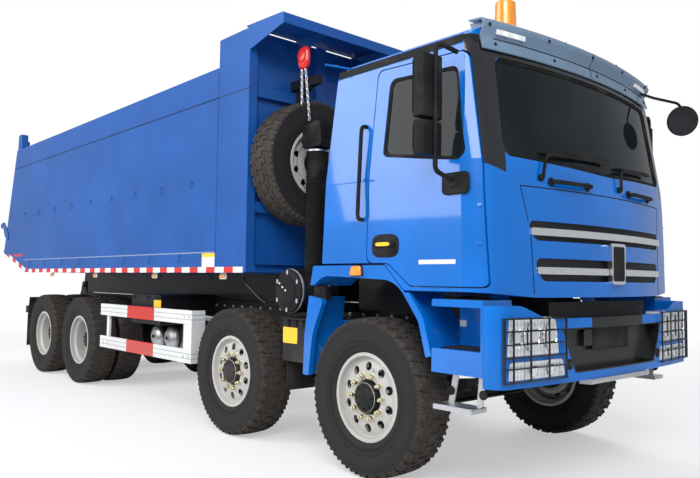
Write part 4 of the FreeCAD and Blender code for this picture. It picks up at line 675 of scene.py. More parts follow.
def tyre_shape(sizes):
    """Half section mirrored, swept round the local third axis. Each pitch has angles at its lug
    walls; the lugs stand where a row's share of the pitch is filled, and the grooves drop the
    radius by their depth."""
    half = HALF_SECTION * (TYRE_HALF / SECTION_HALF, TYRE_RADIUS / SECTION_RADIUS)
    section = np.concatenate((half[::-1], half[1:] * (-1, 1)))
    across = section[:, 0]
    place = np.abs(across) / TYRE_HALF * SECTION_HALF
    share = (np.arange(sizes.lugs)[:, None] + CUTS[None]).ravel()
    part = share % 1.0
    reach = (np.minimum(place, LEAN_END) - LEAN_START) / (LEAN_END - LEAN_START)
    shift = np.where(place > LEAN_START, reach * LEAN, 0.0) * np.sign(across)
    turn = (share[:, None] + shift[None]) * (2 * math.pi / sizes.lugs)
    high = section[:, 1] > TREAD_FOOT / SECTION_RADIUS * TYRE_RADIUS

    def row(low, top):
        return high & (place > low) & (place < top)

    shoulder = row(*SHOULDER)
    early = (part >= 0.02) & (part < 0.31)
    late = (part >= 0.53) & (part < 0.81)
    always = np.ones(len(share), bool)
    depth = np.zeros((len(share), len(across)))
    for cut, open_part, amount in (
            (shoulder, late, 1.0),
            (shoulder & (place > 0.135), early, 0.45),
            (row(-1, ROW_GAP[0]), early, 0.7),
            (row(ROW_GAP[1], OUTER_GAP[0]), late, 0.7),
            (row(*ROW_GAP) | row(*OUTER_GAP), always, 0.8)):
        depth += (cut[None] & open_part[:, None]) * (sizes.groove * amount)
    radius = section[None, :, 1] - np.where(place > WALL, 0.35, 1.0) * depth
    width = across[None] - np.sign(across)[None] * np.where(place > WALL, depth * 0.75, 0.0)
    points = np.stack((radius * np.cos(turn), radius * np.sin(turn), width), -1)
    tread = np.clip((section[:, 1] - 0.50) / 0.02, 0, 1)
    dust = 0.08 + 0.3 * tread[None] + np.minimum(depth / sizes.groove, 1) * 0.3
    radii = np.broadcast_to(section[:, 1], radius.shape)
    return skin(points, True), {"dust": dust.ravel(), "radius": radii.ravel()}


# Each node of tyres, and the axis that its tyres turn on at rest.
TYRE_NODES = {
    "tyre_1_left": "Y", "tyre_1_right": "Y", "tyre_2_left": "Y", "tyre_2_right": "Y",
    "tyres_3_left": "Y", "tyres_3_right": "Y", "tyres_4_left": "Y", "tyres_4_right": "Y",
    "spare_tyre": "X",
}


def tyre_centres(node, axis):
    """Middle of each tyre of a node: one, or two when the node is wider than a tyre."""
    low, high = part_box(node)
    low = np.array(low) - (AXLE_1, 0, 0)
    high = np.array(high) - (AXLE_1, 0, 0)
    centre = (low + high) / 2
    column = "XYZ".index(axis)
    if high[column] - low[column] < 3 * TYRE_HALF:
        return [centre]
    pair = [centre.copy(), centre.copy()]
    pair[0][column] = low[column] + TYRE_HALF
    pair[1][column] = high[column] - TYRE_HALF
    return pair


# (radius, height) line across the steered wheels' crowned disc, and its ten holes
FACE = np.array(((0.119, 0.094), (0.128, 0.102), (0.165, 0.102), (0.185, 0.101), (0.208, 0.097),
                 (0.236, 0.090), (0.255, 0.082), (0.272, 0.084), (0.286, 0.098)))
FACE_THICKNESS = 0.006
HOLE_CIRCLE = 0.208
HOLE_RADIUS = 0.029
HOLES_FROM = 0.165
HOLES_TO = 0.25
HALF_TENTH = math.pi / 10


def wheel_face():
    """Crowned disc with ten round holes. In each tenth, radius and angle go evenly from the hole's
    circle to the tenth's own edge; plain rings close the disc inside and outside the holes."""
    reach = HALF_TENTH * HOLE_CIRCLE
    one = math.atan2(reach, HOLES_TO - HOLE_CIRCLE)
    two = math.pi - math.atan2(reach, HOLE_CIRCLE - HOLES_FROM)
    stops = (-one, one, two, 2 * math.pi - two, 2 * math.pi - one)
    turn = np.concatenate([np.linspace(a, b, 10, endpoint=False) for a, b in zip(stops, stops[1:])])
    out = np.cos(turn)
    side = np.sin(turn)
    limit = np.where(out > 0, HOLES_TO - HOLE_CIRCLE, HOLE_CIRCLE - HOLES_FROM)
    scale = 1 / np.maximum(np.abs(out) / limit, np.abs(side) / reach)
    part = np.array((0, 0.06, 0.35, 0.7, 1, 1, 0))[:, None]
    sink = np.array((0.003, 0, 0, 0, 0, FACE_THICKNESS, FACE_THICKNESS))[:, None]
    at_hole = HOLE_CIRCLE + HOLE_RADIUS * out
    radius = at_hole * (1 - part) + (HOLE_CIRCLE + scale * out) * part
    angle = HOLE_RADIUS * side / at_hole * (1 - part) + scale * side / HOLE_CIRCLE * part
    height = np.interp(radius, FACE[:, 0], FACE[:, 1]) - sink
    tenths = []
    for number in range(10):
        whole = angle + number * 2 * HALF_TENTH
        points = np.stack((radius * np.cos(whole), radius * np.sin(whole), height), -1)
        tenths.append(skin(points, True))
    inner = FACE[FACE[:, 0] <= HOLES_FROM]
    start = (HOLES_TO, np.interp(HOLES_TO, FACE[:, 0], FACE[:, 1]))
    outer = np.concatenate(((start,), FACE[FACE[:, 0] > HOLES_TO]))
    loops = [np.concatenate((line, line[::-1] - (0, FACE_THICKNESS))) for line in (inner, outer)]
    return joined(*tenths, *[turned(loop, 60, True) for loop in loops])


FRONT_NUT_CIRCLE = 0.146
REAR_NUT_CIRCLE = 0.1675
FRONT_NUT_SEAT = 0.1
REAR_NUT_SEAT = 0.838       # from the truck's middle
REAR_HUB = 0.835


def wheel_nuts(size, circle, seat):
    """Ten nuts with their washers and studs on a circle, seated at a height."""
    nut = joined(turned(((size * 1.25, 0), (size * 1.25, 0.004), (size, 0.005)), 12),
                 turned(((size, 0.004), (size, 0.026), (size * 0.86, 0.030)), 6),
                 turned(((0.0105, 0.028), (0.0105, 0.046), (0.008, 0.048)), 8))
    places = np.concatenate((ring(circle, 10, HALF_TENTH), np.full((10, 1), seat)), 1)
    return scattered(nut, places)


def front_hub_cover():
    """Domed sleeve with eight screws, and the ring that backs the wheel's holes."""
    sleeve = turned(((0.119, 0.06), (0.112, 0.1), (0.104, 0.125), (0.092, 0.1405), (0.09, 0.142),
                     (0.06, 0.1425), (0.03, 0.1445), (0.01, 0.1445)), 48)
    screws = np.concatenate((ring(0.074, 8), np.full((8, 1), 0.142)), 1)
    backing = ((HOLES_FROM, 0.076), (HOLES_TO, 0.066), (HOLES_TO, 0.06), (HOLES_FROM, 0.07))
    return joined(sleeve, turned(backing, 48, True), scattered(hex_bolt(0.008, 0.007), screws))


def rear_hub():
    """Stepped hub of a drive axle with ten bolts round its cap."""
    hub = turned(((0.126, 0), (0.129, 0.02), (0.108, 0.135), (0.108, 0.145), (0.096, 0.152),
                  (0.094, 0.188), (0.075, 0.193), (0.03, 0.194)), 40)
    bolts = np.concatenate((ring(0.085, 10), np.full((10, 1), 0.1905)), 1)
    return joined(hub, scattered(hex_bolt(0.009, 0.008), bolts))


def valve_stem():
    """Bent valve stem that stands out of one of the holes."""
    stem = bent(((0.178, 0.06, 0.1), (0.184, 0.062, 0.115), (0.2, 0.068, 0.118)), 0.01)
    return carried(stem, ring(0.004, 8))


# ---- sizes and colours in the sidebar -----------------------------------------------------------
def length_property(name, description, default, low, high):
    return bpy.props.FloatProperty(name=name, description=description, default=default, min=low, max=high,
                                   subtype="DISTANCE", unit="LENGTH")


def angle_property(name, description, degrees):
    return bpy.props.FloatProperty(name=name, description=description, default=math.radians(degrees),
                                   subtype="ANGLE", unit="ROTATION")


def colour_property(name, description, default):
    return bpy.props.FloatVectorProperty(name=name, description=description, default=default, size=3,
                                         min=0.0, max=1.0, subtype="COLOR")


class TruckSizes(bpy.types.PropertyGroup):
    lugs: bpy.props.IntProperty(name="Tread lugs", description="Shoulder lugs round each tyre", default=34,
                                min=20, max=60)
    groove: length_property("Groove depth", "Depth of the tread's grooves", 0.02, 0.004, 0.03)
    tape: length_property("Tape height", "Height of the reflective tape", 0.05, 0.02, 0.1)
    tape_block: length_property("Tape block", "Length of one tape colour", 0.15, 0.05, 0.5)
    nut: length_property("Wheel nut", "Radius of a wheel nut's corners", 0.0185, 0.01, 0.03)
    chain: length_property("Chain wire", "Radius of the chain's wire", 0.004, 0.002, 0.01)
    camera: bpy.props.FloatVectorProperty(name="Camera", description="Camera place from the first axle",
                                          default=(3.487, -4.499, 1.336), size=3,
                                          subtype="TRANSLATION", unit="LENGTH")
    heading: angle_property("Heading", "Camera turned from straight back", 42.234)
    pitch: angle_property("Pitch", "Camera looks up by this angle", 3.472)
    roll: angle_property("Roll", "Camera leans by this angle", 0.684)


class TruckColours(bpy.types.PropertyGroup):
    cab: colour_property("Cab", "Paint of the cab and its fenders", (0.0, 0.128, 0.50))
    bed: colour_property("Bed", "Paint of the dump bed", (0.008, 0.075, 0.30))
    steel: colour_property("Chassis", "Paint of the frame and its gear", (0.010, 0.010, 0.012))
    white: colour_property("White", "White paint of the guards and labels", (0.64, 0.65, 0.65))
    wheel: colour_property("Wheels", "Paint of the wheel discs", (0.45, 0.44, 0.42))
    nut: colour_property("Wheel nuts", "Plating of the wheel nuts", (0.72, 0.66, 0.48))
    tyre: colour_property("Tyres", "Rubber of the tyres", (0.017, 0.017, 0.0185))
    red: colour_property("Red", "Reflective red and the hook block", (0.52, 0.02, 0.015))
    yellow: colour_property("Yellow", "Blank plates and labels", (0.80, 0.52, 0.03))
    amber: colour_property("Amber", "Indicators, markers and beacon", (0.92, 0.30, 0.012))


class TruckFinishes(bpy.types.Operator):
    """Makes every finish and gives each CAD node the one it takes"""
    bl_idname = "truck.finishes"
    bl_label = "Finishes"

    def execute(self, context):
        colours = context.scene.truck_colours
        # roughness, coat, dust, height that the dust reaches, rain streaks
        for name, colour, numbers, marks in (
                ("cab_paint", colours.cab, (0.26, 0.7, 0.1, 0.9, 0.0), cab_covers_and_shade),
                ("panel_paint", colours.cab, (0.26, 0.7, 0.12, 0.9, 0.0), None),
                ("bumper_paint", colours.cab, (0.3, 0.25, 0.12, 0.85, 0.0), bumper_recess_shade),
                ("visor_paint", (0.13, 0.20, 0.29), (0.34, 0.3, 0.0, 0.9, 0.0), None),
                ("bed_paint", colours.bed, (0.36, 0.3, 0.15, 1.6, 0.12), bed_painted_light),
                ("steel_paint", colours.steel, (0.42, 0.2, 0.3, 1.1, 0.05), None),
                ("white_paint", colours.white, (0.35, 0.5, 0.35, 1.0, 0.15), guard_marks),
                ("label_white", colours.white, (0.4, 0.3, 0.2, 1.0, 0.1), None),
                ("wheel_paint", colours.wheel, (0.38, 0.35, 0.35, 0.9, 0.1), None),
                ("hub_black", (0.006, 0.006, 0.007), (0.4, 0.1, 0.35, 0.9, 0.1), None),
                ("red_paint", colours.red, (0.35, 0.5, 0.15, 1.0, 0.1), None),
                ("yellow_paint", colours.yellow, (0.4, 0.4, 0.15, 1.0, 0.1), None),
                ("interior", (0.045, 0.045, 0.05), (0.7, 0.0, 0.0, 0.4, 0.0), None)):
            paint(name, colour, *numbers, marks)
        casting("cast_iron", (0.014, 0.0135, 0.013))
        tyre_rubber(colours.tyre)
        glazing("cab_glass", (0.006, 0.009, 0.011), 0.9)
        glazing("mirror_glass", (0.012, 0.013, 0.015), 0.99)
        # roughness, stretch of the brushed lines, soil
        metal("chrome", (0.93, 0.94, 0.96), 0.1, (1, 1, 1), 0.03)
        metal("bright_step", (0.55, 0.56, 0.575), 0.32, (1, 0.15, 1), 0.25)
        metal("nut_gold", colours.nut, 0.3, (1, 1, 1), 0.15)
        metal("zinc", (0.55, 0.56, 0.58), 0.35, (1, 1, 1), 0.3)
        metal("hoist_chrome", (0.62, 0.63, 0.65), 0.18, (1, 1, 0.1), 0.15)
        plastic("black_plastic", (0.008, 0.008, 0.009), 0.5, dust=0.1)
        plastic("grey_trim", (0.010, 0.010, 0.011), 0.5, dust=0.1)
        plastic("black_rubber", (0.008, 0.008, 0.0085), 0.72, 260, 0.12)
        tread_plate("tread_plate", (0.55, 0.56, 0.57))
        mesh_screen("grille_screen", (0.012, 0.012, 0.013))
        lamp_lens("lamp_lens")
        fluted_lens("amber_lens", colours.amber)
        fluted_lens("white_lens", (0.80, 0.82, 0.84))
        reflective_tape("tape", colours.red, context.scene.truck_sizes.tape_block)
        for node, thing in frame["nodes"].items():
            thing.data.materials.clear()
            thing.data.materials.append(FINISHES[node_finish(node)])
        return {"FINISHED"}


NODE_FINISHES = (
    ("bed", "bed_paint"), ("tailgate", "bed_paint"), ("cab_shell", "cab_paint"),
    ("left_door_glass", "cab_glass"), ("right_door_glass", "cab_glass"),
    ("left_door", "panel_paint"), ("right_door", "panel_paint"),
    ("windscreen", "cab_glass"), ("cab_steps", "panel_paint"), ("front_fenders", "panel_paint"),
    ("front_bumper", "bumper_paint"), ("sun_visor", "visor_paint"), ("cab_interior", "interior"),
    ("grille_bars", "chrome"), ("lamps", "lamp_lens"), ("lamp_guards", "steel_paint"),
    ("alloy_steps", "bright_step"), ("beacon", "amber_lens"), ("front_mirror", "black_plastic"),
    ("left_mirrors", "black_plastic"), ("right_mirrors", "black_plastic"), ("mudflaps", "black_rubber"),
    ("side_guards", "white_paint"), ("side_boxes", "steel_paint"), ("air_tanks", "bright_step"),
    ("air_intake", "black_plastic"), ("fuel_tank", "bright_step"), ("chassis_frame", "steel_paint"),
    ("spare_rim", "wheel_paint"), ("spare_tyre", "tyre"), ("spare_bracket", "steel_paint"),
    ("powertrain", "cast_iron"), ("axles", "cast_iron"), ("springs", "cast_iron"),
    ("knuckle", "cast_iron"), ("hoist_barrel", "steel_paint"), ("hoist_stage", "hoist_chrome"),
    ("tyre", "tyre"), ("wheel", "wheel_paint"),
)


def node_finish(node):
    """Name of the finish of the first entry that begins the node's name."""
    for beginning, finish in NODE_FINISHES:
        if node.startswith(beginning):
            return finish
    raise RuntimeError("no finish for " + node)


class TruckTyres(bpy.types.Operator):
    """Treaded tyres in place of the smooth ones"""
    bl_idname = "truck.tyres"
    bl_label = "Tyres"

    def execute(self, context):
        shape, values = tyre_shape(context.scene.truck_sizes)
        for node, axis in TYRE_NODES.items():
            turn = WHEEL_Y_TURN if axis == "Y" else WHEEL_X_TURN
            centres = tyre_centres(node, axis)
            for number, centre in enumerate(centres):
                name = "treaded_" + node + ("_" + "ab"[number] if len(centres) > 1 else "")
                made = piece(name, placed(shape, centre, turn), "tyre", body_of(node), 30, values)
                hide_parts(node)
        return {"FINISHED"}


class TruckWheels(bpy.types.Operator):
    """Discs, plated nuts with studs, hub covers and valves on every wheel"""
    bl_idname = "truck.wheels"
    bl_label = "Wheel nuts and hubs"

    def execute(self, context):
        size = context.scene.truck_sizes.nut
        front_fittings = (
            ("wheel_face_", wheel_face(), "wheel_paint", "wheel_silver"),
            ("nuts_", wheel_nuts(size, FRONT_NUT_CIRCLE, FRONT_NUT_SEAT), "nut_gold", "wheel_silver"),
            ("hub_cover_", front_hub_cover(), "hub_black", "black_steel"),
            ("valve_", valve_stem(), "zinc", "chrome"))
        for number in (1, 2):
            for side, sign in SIDES:
                ending = "%d_%s" % (number, side)
                body = body_of("wheel_" + ending)
                y = middle("tyre_" + ending).y
                centre = (middle("wheel_" + ending).x - AXLE_1, y, TYRE_RADIUS)
                turn = WHEEL_Y_TURN * (1, 1, sign)
                for name, shape, finish, slot in front_fittings:
                    piece(name + ending, placed(shape, centre, turn), finish, body)
        nuts = wheel_nuts(size, REAR_NUT_CIRCLE, 0.0)
        hub = rear_hub()
        for number in (3, 4):
            for side, sign in SIDES:
                ending = "%d_%s" % (number, side)
                body = body_of("wheels_" + ending)
                x = middle("wheels_" + ending).x - AXLE_1
                turn = WHEEL_Y_TURN * (1, 1, sign)
                out = placed(nuts, (x, sign * REAR_NUT_SEAT, TYRE_RADIUS), turn)
                piece("nuts_" + ending, out, "zinc", body)
                out = placed(hub, (x, sign * REAR_HUB, TYRE_RADIUS), turn)
                piece("hub_" + ending, out, "hub_black", body)
        return {"FINISHED"}


# ---- bed ----------------------------------------------------------------------------------------
BED_SIDE = 1.2502           # just clear of the side plates
SILL_Z = 1.41               # middle of the tape
LABEL_FRONT = -1.95
LABEL_REAR = -2.18
MARKER_Z = 1.352
FOLD_FRONT = -1.965
LOWER_FOLD_Z = 1.568
UPPER_FOLD_Z = 2.966


def tape_and_labels(tape):
    """Red and white tape along the sill and up the tail's slope, and two blank labels."""
    low = both(strip_along(-1.5, -7.04, SILL_Z - tape / 2, SILL_Z + tape / 2, -BED_SIDE))
    slope = divided(((-7.08, -BED_SIDE, 1.415), (-7.24, -BED_SIDE, 1.432), (-8.05, -BED_SIDE, 1.655)), 0.04)
    tail = both(carried(slope, rounded(tape, 0.003, 0.001, 2), up=ASIDE))
    piece("side_tape", joined(low, tail), "tape", "bed")
    for name, bottom, top, finish, slot in (
            ("label_white", 1.435, 1.525, "label_white", "white_paint"),
            ("label_yellow", 1.525, 1.56, "yellow_paint", "amber")):
        label = strip_along(LABEL_REAR, LABEL_FRONT, bottom, top, -BED_SIDE, 0.002)
        piece(name, both(label), finish, "bed")


def side_markers():
    """Four amber lamps a side, each on a pale base that hangs from a tab."""
    places = [(x, -1.2, MARKER_Z) for x in (-1.88, -3.20, -4.74, -6.2)]
    base = slab(rounded(0.115, 0.05, 0.02, 5), 0.012, 0.003)
    lens = placed(slab(rounded(0.085, 0.03, 0.013, 5), 0.012, 0.005), (0, 0, 0.010))
    tab = placed(slab(rounded(0.09, 0.07, 0.004, 2), 0.004, 0.001), (0, 0.03, -0.004))
    bases = joined(scattered(base, places, RIGHT), scattered(tab, places, RIGHT))
    piece("marker_bases", both(bases), "label_white", "bed")
    piece("marker_lenses", both(scattered(lens, places, RIGHT)), "amber_lens", "bed")


def tarpaulin_hooks():
    """Two rows of bent hooks on the sides; the upper ones have a foot plate."""
    hook = carried(bent(((0, 0.03, 0), (0, 0.028, 0.022), (0, -0.03, 0.028), (0, -0.038, 0.012)), 0.012, 5),
                   ring(0.005, 6), up=(1, 0, 0))
    foot = slab(rounded(0.03, 0.045, 0.006, 3), 0.004, 0.001)
    upper = [(x, -BED_SIDE, 2.22) for x in np.linspace(-2.4, -7.3, 9)]
    lower = [(x, -BED_SIDE, 1.515) for x in np.linspace(-2.6, -7.0, 8)]
    feet = [(x, y, z + 0.03) for x, y, z in upper]
    points, faces = joined(scattered(hook, upper, RIGHT), scattered(foot, feet, RIGHT),
                           scattered(hook, lower, RIGHT))
    stand_out = 0.8
    points[:, 1] = -BED_SIDE + (points[:, 1] + BED_SIDE) * stand_out
    piece("tarp_hooks", both((points, faces)), "bed_paint", "bed")


def bed_creases():
    """Upright weld beads by the front pillar, and the folds along the sides."""
    y = -1.2495
    lines = []
    for x in (-1.952, -1.458):
        lines.append(carried(divided(((x, y, 1.42), (x, y, 3.2)), 0.05), ring(0.005, 6) * (1, 0.8)))
    lower = ((FOLD_FRONT, y, LOWER_FOLD_Z), (-7.27, y, LOWER_FOLD_Z), (-7.68, y, 1.70))
    lines.append(carried(divided(lower, 0.08), rounded(0.012, 0.012, 0.005, 3)))
    upper = ((FOLD_FRONT, y, UPPER_FOLD_Z), (-7.86, y, UPPER_FOLD_Z))
    lines.append(carried(divided(upper, 0.1), rounded(0.014, 0.012, 0.005, 3)))
    piece("bed_creases", both(joined(*lines)), "bed_paint", "bed")


class TruckBedTrim(bpy.types.Operator):
    """Reflective tape, labels, side markers, tarpaulin hooks and weld lines on the bed"""
    bl_idname = "truck.bed_trim"
    bl_label = "Bed trim"

    def execute(self, context):
        tape_and_labels(context.scene.truck_sizes.tape)
        side_markers()
        tarpaulin_hooks()
        bed_creases()
        patch = strip_along(-7.35, -7.75, 1.62, 1.66, -BED_SIDE, 0.002)
        piece("tail_tape", both(patch), "red_paint", "bed")
        return {"FINISHED"}


# ---- cab ----------------------------------------------------------------------------------------
# Lines for the cab are drawn outside it, then laid on its skin.
CAB_SIDE = 1.3
CAB_FRONT = 1.3
BUMPER_FRONT = 1.4
HANDLE_X = 0.205
WINDOW = ((0.16, 2.165), (0.185, 2.70), (0.775, 2.67), (0.875, 2.06), (0.66, 2.088))
SCREEN = ((-1.03, 2.10), (-0.997, 2.738), (0.997, 2.738), (1.03, 2.10), (0, 2.062))
HOOD_TOP = 1.922
HOOD_SIDE = ((0.927, HOOD_TOP), (0.859, 1.651), (0.838, 1.262))


def window_rubber(side, sign):
    door = side + "_door"
    outline = bent([(x, sign * CAB_SIDE, z) for x, z in WINDOW], 0.07, 6, True)
    line = laid(divided(outline, 0.03, True), door + "_glass", "Y")
    rubber = carried(line, rounded(0.046, 0.016, 0.006, 3), True, up=(0, sign, 0))
    piece("window_rubber_" + side, rubber, "black_rubber", body_of(door))


def door_handle(side, sign):
    """Cup, grip and key lock, with a blank coloured bar on the grip."""
    door = side + "_door"
    turn = LEFT if sign > 0 else RIGHT
    y = laid([(HANDLE_X, sign * CAB_SIDE, 1.555)], door, "Y")[0][1]
    cup = placed(slab(superoval(0.25, 0.155, 3.4), 0.008, 0.004), (HANDLE_X, y - sign * 0.002, 1.563), turn)
    grip = placed(slab(superoval(0.2, 0.036, 4.0), 0.024, 0.008), (0.2, y, 1.572), turn)
    key = placed(turned(((0.011, 0), (0.011, 0.012), (0.008, 0.014)), 16), (0.295, y, 1.53), turn)
    handle = joined(cup, grip, key)
    piece("door_handle_" + side, handle, "black_plastic", body_of(door))
    bar = placed(slab(superoval(0.13, 0.026, 4.0), 0.003, 0.001), (0.2, y + sign * 0.023, 1.573), turn)
    piece("handle_mark_" + side, bar, "yellow_paint", body_of(door))


def door_fittings(side, sign):
    """Blank plate, the mirror arm's foot, and the caps over the door's hinges."""
    door = side + "_door"
    body = body_of(door)
    turn = LEFT if sign > 0 else RIGHT
    mark = laid([(0.655, sign * CAB_SIDE, 1.452)], door, "Y")[0]
    plate = placed(slab(rounded(0.30, 0.028, 0.004, 3), 0.002, 0.0006), mark, turn)
    piece("door_plate_" + side, plate, "label_white", body)
    spot = laid([(0.8075, sign * CAB_SIDE, 1.9235)], door, "Y")[0]
    foot = placed(slab(rounded(0.21, 0.135, 0.035, 5), 0.022, 0.008), spot - (0, sign * 0.004, 0), turn)
    piece("mirror_foot_" + side, foot, "black_plastic", body)
    caps = []
    for z in (1.56, 1.79):
        spot = laid([(0.94, sign * CAB_SIDE, z)], door, "Y")[0]
        caps.append(placed(slab(rounded(0.05, 0.022, 0.006, 3), 0.006, 0.002), spot, turn))
    piece("hinge_caps_" + side, joined(*caps), "panel_paint", body)


def cab_side_strips():
    """Gutter, drip rail and waist crease: where each begins and ends, its height and section."""
    for name, rear, front, z, lift, section, finish, slot in (
            ("gutter_strips", -0.36, 0.9, 2.835, 0.002, (0.062, 0.014, 0.005), "grey_trim", "trim"),
            ("roof_drips", -0.38, 0.88, 2.905, 0.003, (0.016, 0.014, 0.006), "panel_paint", "blue_cab"),
            ("waist_creases", -0.37, 0.045, 2.02, 0.0, (0.012, 0.006, 0.002), "panel_paint", "blue_cab")):
        line = divided(((rear, -CAB_SIDE, z), (front, -CAB_SIDE, z)), 0.05)
        line = laid(line, "cab_shell", "Y", lift)
        strip = carried(line, rounded(*section, 3), up=ASIDE)
        piece(name, both(strip), finish, body_of("cab_shell"))


def windscreen_rubber():
    outline = bent([(CAB_FRONT, y, z) for y, z in SCREEN], 0.075, 6, True)
    line = laid(divided(outline, 0.04, True), "windscreen", "X")
    rubber = carried(line, rounded(0.05, 0.018, 0.007, 3), True, up=(1.0, 0, 0.15))
    piece("screen_rubber", rubber, "black_rubber", body_of("windscreen"))


def hood_seams():
    """Gap round the hood: across its top and down both sides."""
    top = [(CAB_FRONT, y, HOOD_TOP) for y in (-HOOD_SIDE[0][0], HOOD_SIDE[0][0])]
    sides = [[(CAB_FRONT, sign * y, z) for y, z in HOOD_SIDE] for sign in (-1, 1)]
    seams = []
    for line in (top, *sides):
        path = laid(divided(line, 0.03), "cab_shell", "X", 0.0003)
        seams.append(carried(path, rounded(0.007, 0.002, 0.0008, 2), up=AHEAD))
    piece("hood_seams", joined(*seams), "black_rubber", body_of("cab_shell"))


def grab_rails():
    """Two rails under the windscreen, each between two round feet."""
    z = 1.965
    rails = []
    for y0, y1 in ((-0.655, -0.283), (0.283, 0.655)):
        (xa, _, _), (xb, _, _) = laid([(CAB_FRONT, y0, z), (CAB_FRONT, y1, z)], "cab_shell", "X")
        path = bent(((xa - 0.01, y0, z), (xa + 0.045, y0, z), (xb + 0.045, y1, z), (xb - 0.01, y1, z)), 0.04)
        rails.append(carried(path, ring(0.014, 12), up=(0, 0, 1)))
        foot = turned(((0.03, 0), (0.03, 0.008), (0.02, 0.014)), 16)
        for x, y in ((xa, y0), (xb, y1)):
            rails.append(placed(foot, (x - 0.002, y, z), FRONT))
    piece("front_grab_rails", joined(*rails), "black_plastic", body_of("cab_shell"))


def indicators():
    """Four-cornered amber lamps on the fenders."""
    body = body_of("front_fenders")
    base = laid([(-0.075, -CAB_SIDE, 1.398)], "front_fenders", "Y")[0]
    corners = np.array(((-0.058, -0.034, 0), (0.058, -0.032, 0), (0.048, 0.034, 0), (-0.042, 0.032, 0)))
    foot = placed(slab(bent(corners * 1.12, 0.016, 5, True)[:, :2], 0.008, 0.003), base, RIGHT)
    lens = placed(slab(bent(corners, 0.014, 5, True)[:, :2], 0.022, 0.007), base + (0, -0.004, 0), RIGHT)
    piece("indicator_feet", both(foot), "black_plastic", body)
    piece("indicator_lenses", both(lens), "amber_lens", body)


def door_grab_rails():
    """Upright rails on the cab behind the doors."""
    low, high = laid([(-0.02, -CAB_SIDE, 1.75), (-0.02, -CAB_SIDE, 2.4)], "cab_shell", "Y")
    inside = (0, 0.01, 0)
    outside = (0, -0.05, 0)
    path = bent((low + inside, low + outside, high + outside, high + inside), 0.05)
    rail = carried(path, ring(0.014, 12), up=(1, 0, 0))
    piece("door_grab_rails", both(rail), "black_plastic", body_of("cab_shell"))


class TruckCabTrim(bpy.types.Operator):
    """Window rubbers, gutter strips, handles, indicators, seams and rails of the cab"""
    bl_idname = "truck.cab_trim"
    bl_label = "Cab trim"

    def execute(self, context):
        for side, sign in SIDES:
            window_rubber(side, sign)
            door_handle(side, sign)
            door_fittings(side, sign)
        cab_side_strips()
        windscreen_rubber()
        hood_seams()
        grab_rails()
        indicators()
        door_grab_rails()
        return {"FINISHED"}


# ---- front --------------------------------------------------------------------------------------
PLATE_Z = 0.975
BADGE_Z = 1.4625
GRILLE_GAPS = ((1.71, 1.592, 0.87, 1.4), (1.48, 1.342, 0.81, 1.0))    # top, bottom, half width, setback
WIPERS = (((1.12, -0.753, 1.985), (1.13, -0.709, 2.139), (1.12, 0.0, 2.169)),
          ((1.14, 0.134, 1.985), (1.14, 0.152, 2.128), (1.1, 0.731, 2.162)))
# y, z and radius of each lamp's bowl, on both sides
BOWLS = ((0.80, 1.015, 0.075), (0.97, 1.015, 0.082), (1.1, 1.0, 0.05), (0.79, 0.82, 0.038),
         (0.95, 0.82, 0.038))


def grille_screens():
    """Bowed black screens between the bars, set back from the cab's front."""
    screens = []
    for top, bottom, half, setback in GRILLE_GAPS:
        line = [(CAB_FRONT, y, (top + bottom) / 2) for y in np.linspace(-half, half, 26)]
        line = laid(line, "cab_shell", "X")
        line[:, 0] = 1.168 - 0.1 * (np.abs(line[:, 1]) / 1.1) ** 2.2 - 0.022 * setback - 0.02
        screens.append(carried(line, rounded(top - bottom + 0.02, 0.006, 0.002, 2), up=AHEAD))
    piece("grille_screens", joined(*screens), "grille_screen", body_of("cab_shell"))


def wipers():
    """Two cranked arms on pivots under the windscreen, each with a blade that follows the glass."""
    arms = []
    blades = []
    pivot = turned(((0.022, 0), (0.022, 0.016), (0.014, 0.026)), 16)
    for places in WIPERS:
        points = laid([(BUMPER_FRONT, y, z) for _, y, z in places], "windscreen", "X")
        points[0, 0] = laid([(BUMPER_FRONT, *places[0][1:])], "cab_shell", "X")[0][0]
        start = points[0] + (0.004, 0, 0)
        knee = points[1] + (0.045, 0, 0)
        end = points[2] + (0.035, 0, -0.006)
        arm = divided(bent((start + (0.02, 0, 0), knee, end), 0.05), 0.03)
        arms.append(carried(arm, rounded(0.022, 0.014, 0.004, 3)))
        arms.append(placed(pivot, start - (0.004, 0, 0), FRONT))
        along = np.linspace(-0.02, 1.04, 24)[:, None]
        line = points[1] * (1 - along) + points[2] * along + (0.3, 0, 0.012)
        line = laid(line, "windscreen", "X", 0.012)
        blades.append(carried(line, rounded(0.018, 0.016, 0.004, 3)))
    shell = body_of("cab_shell")
    piece("wiper_arms", joined(*arms), "black_plastic", shell)
    piece("wiper_blades", joined(*blades), "black_rubber", shell)


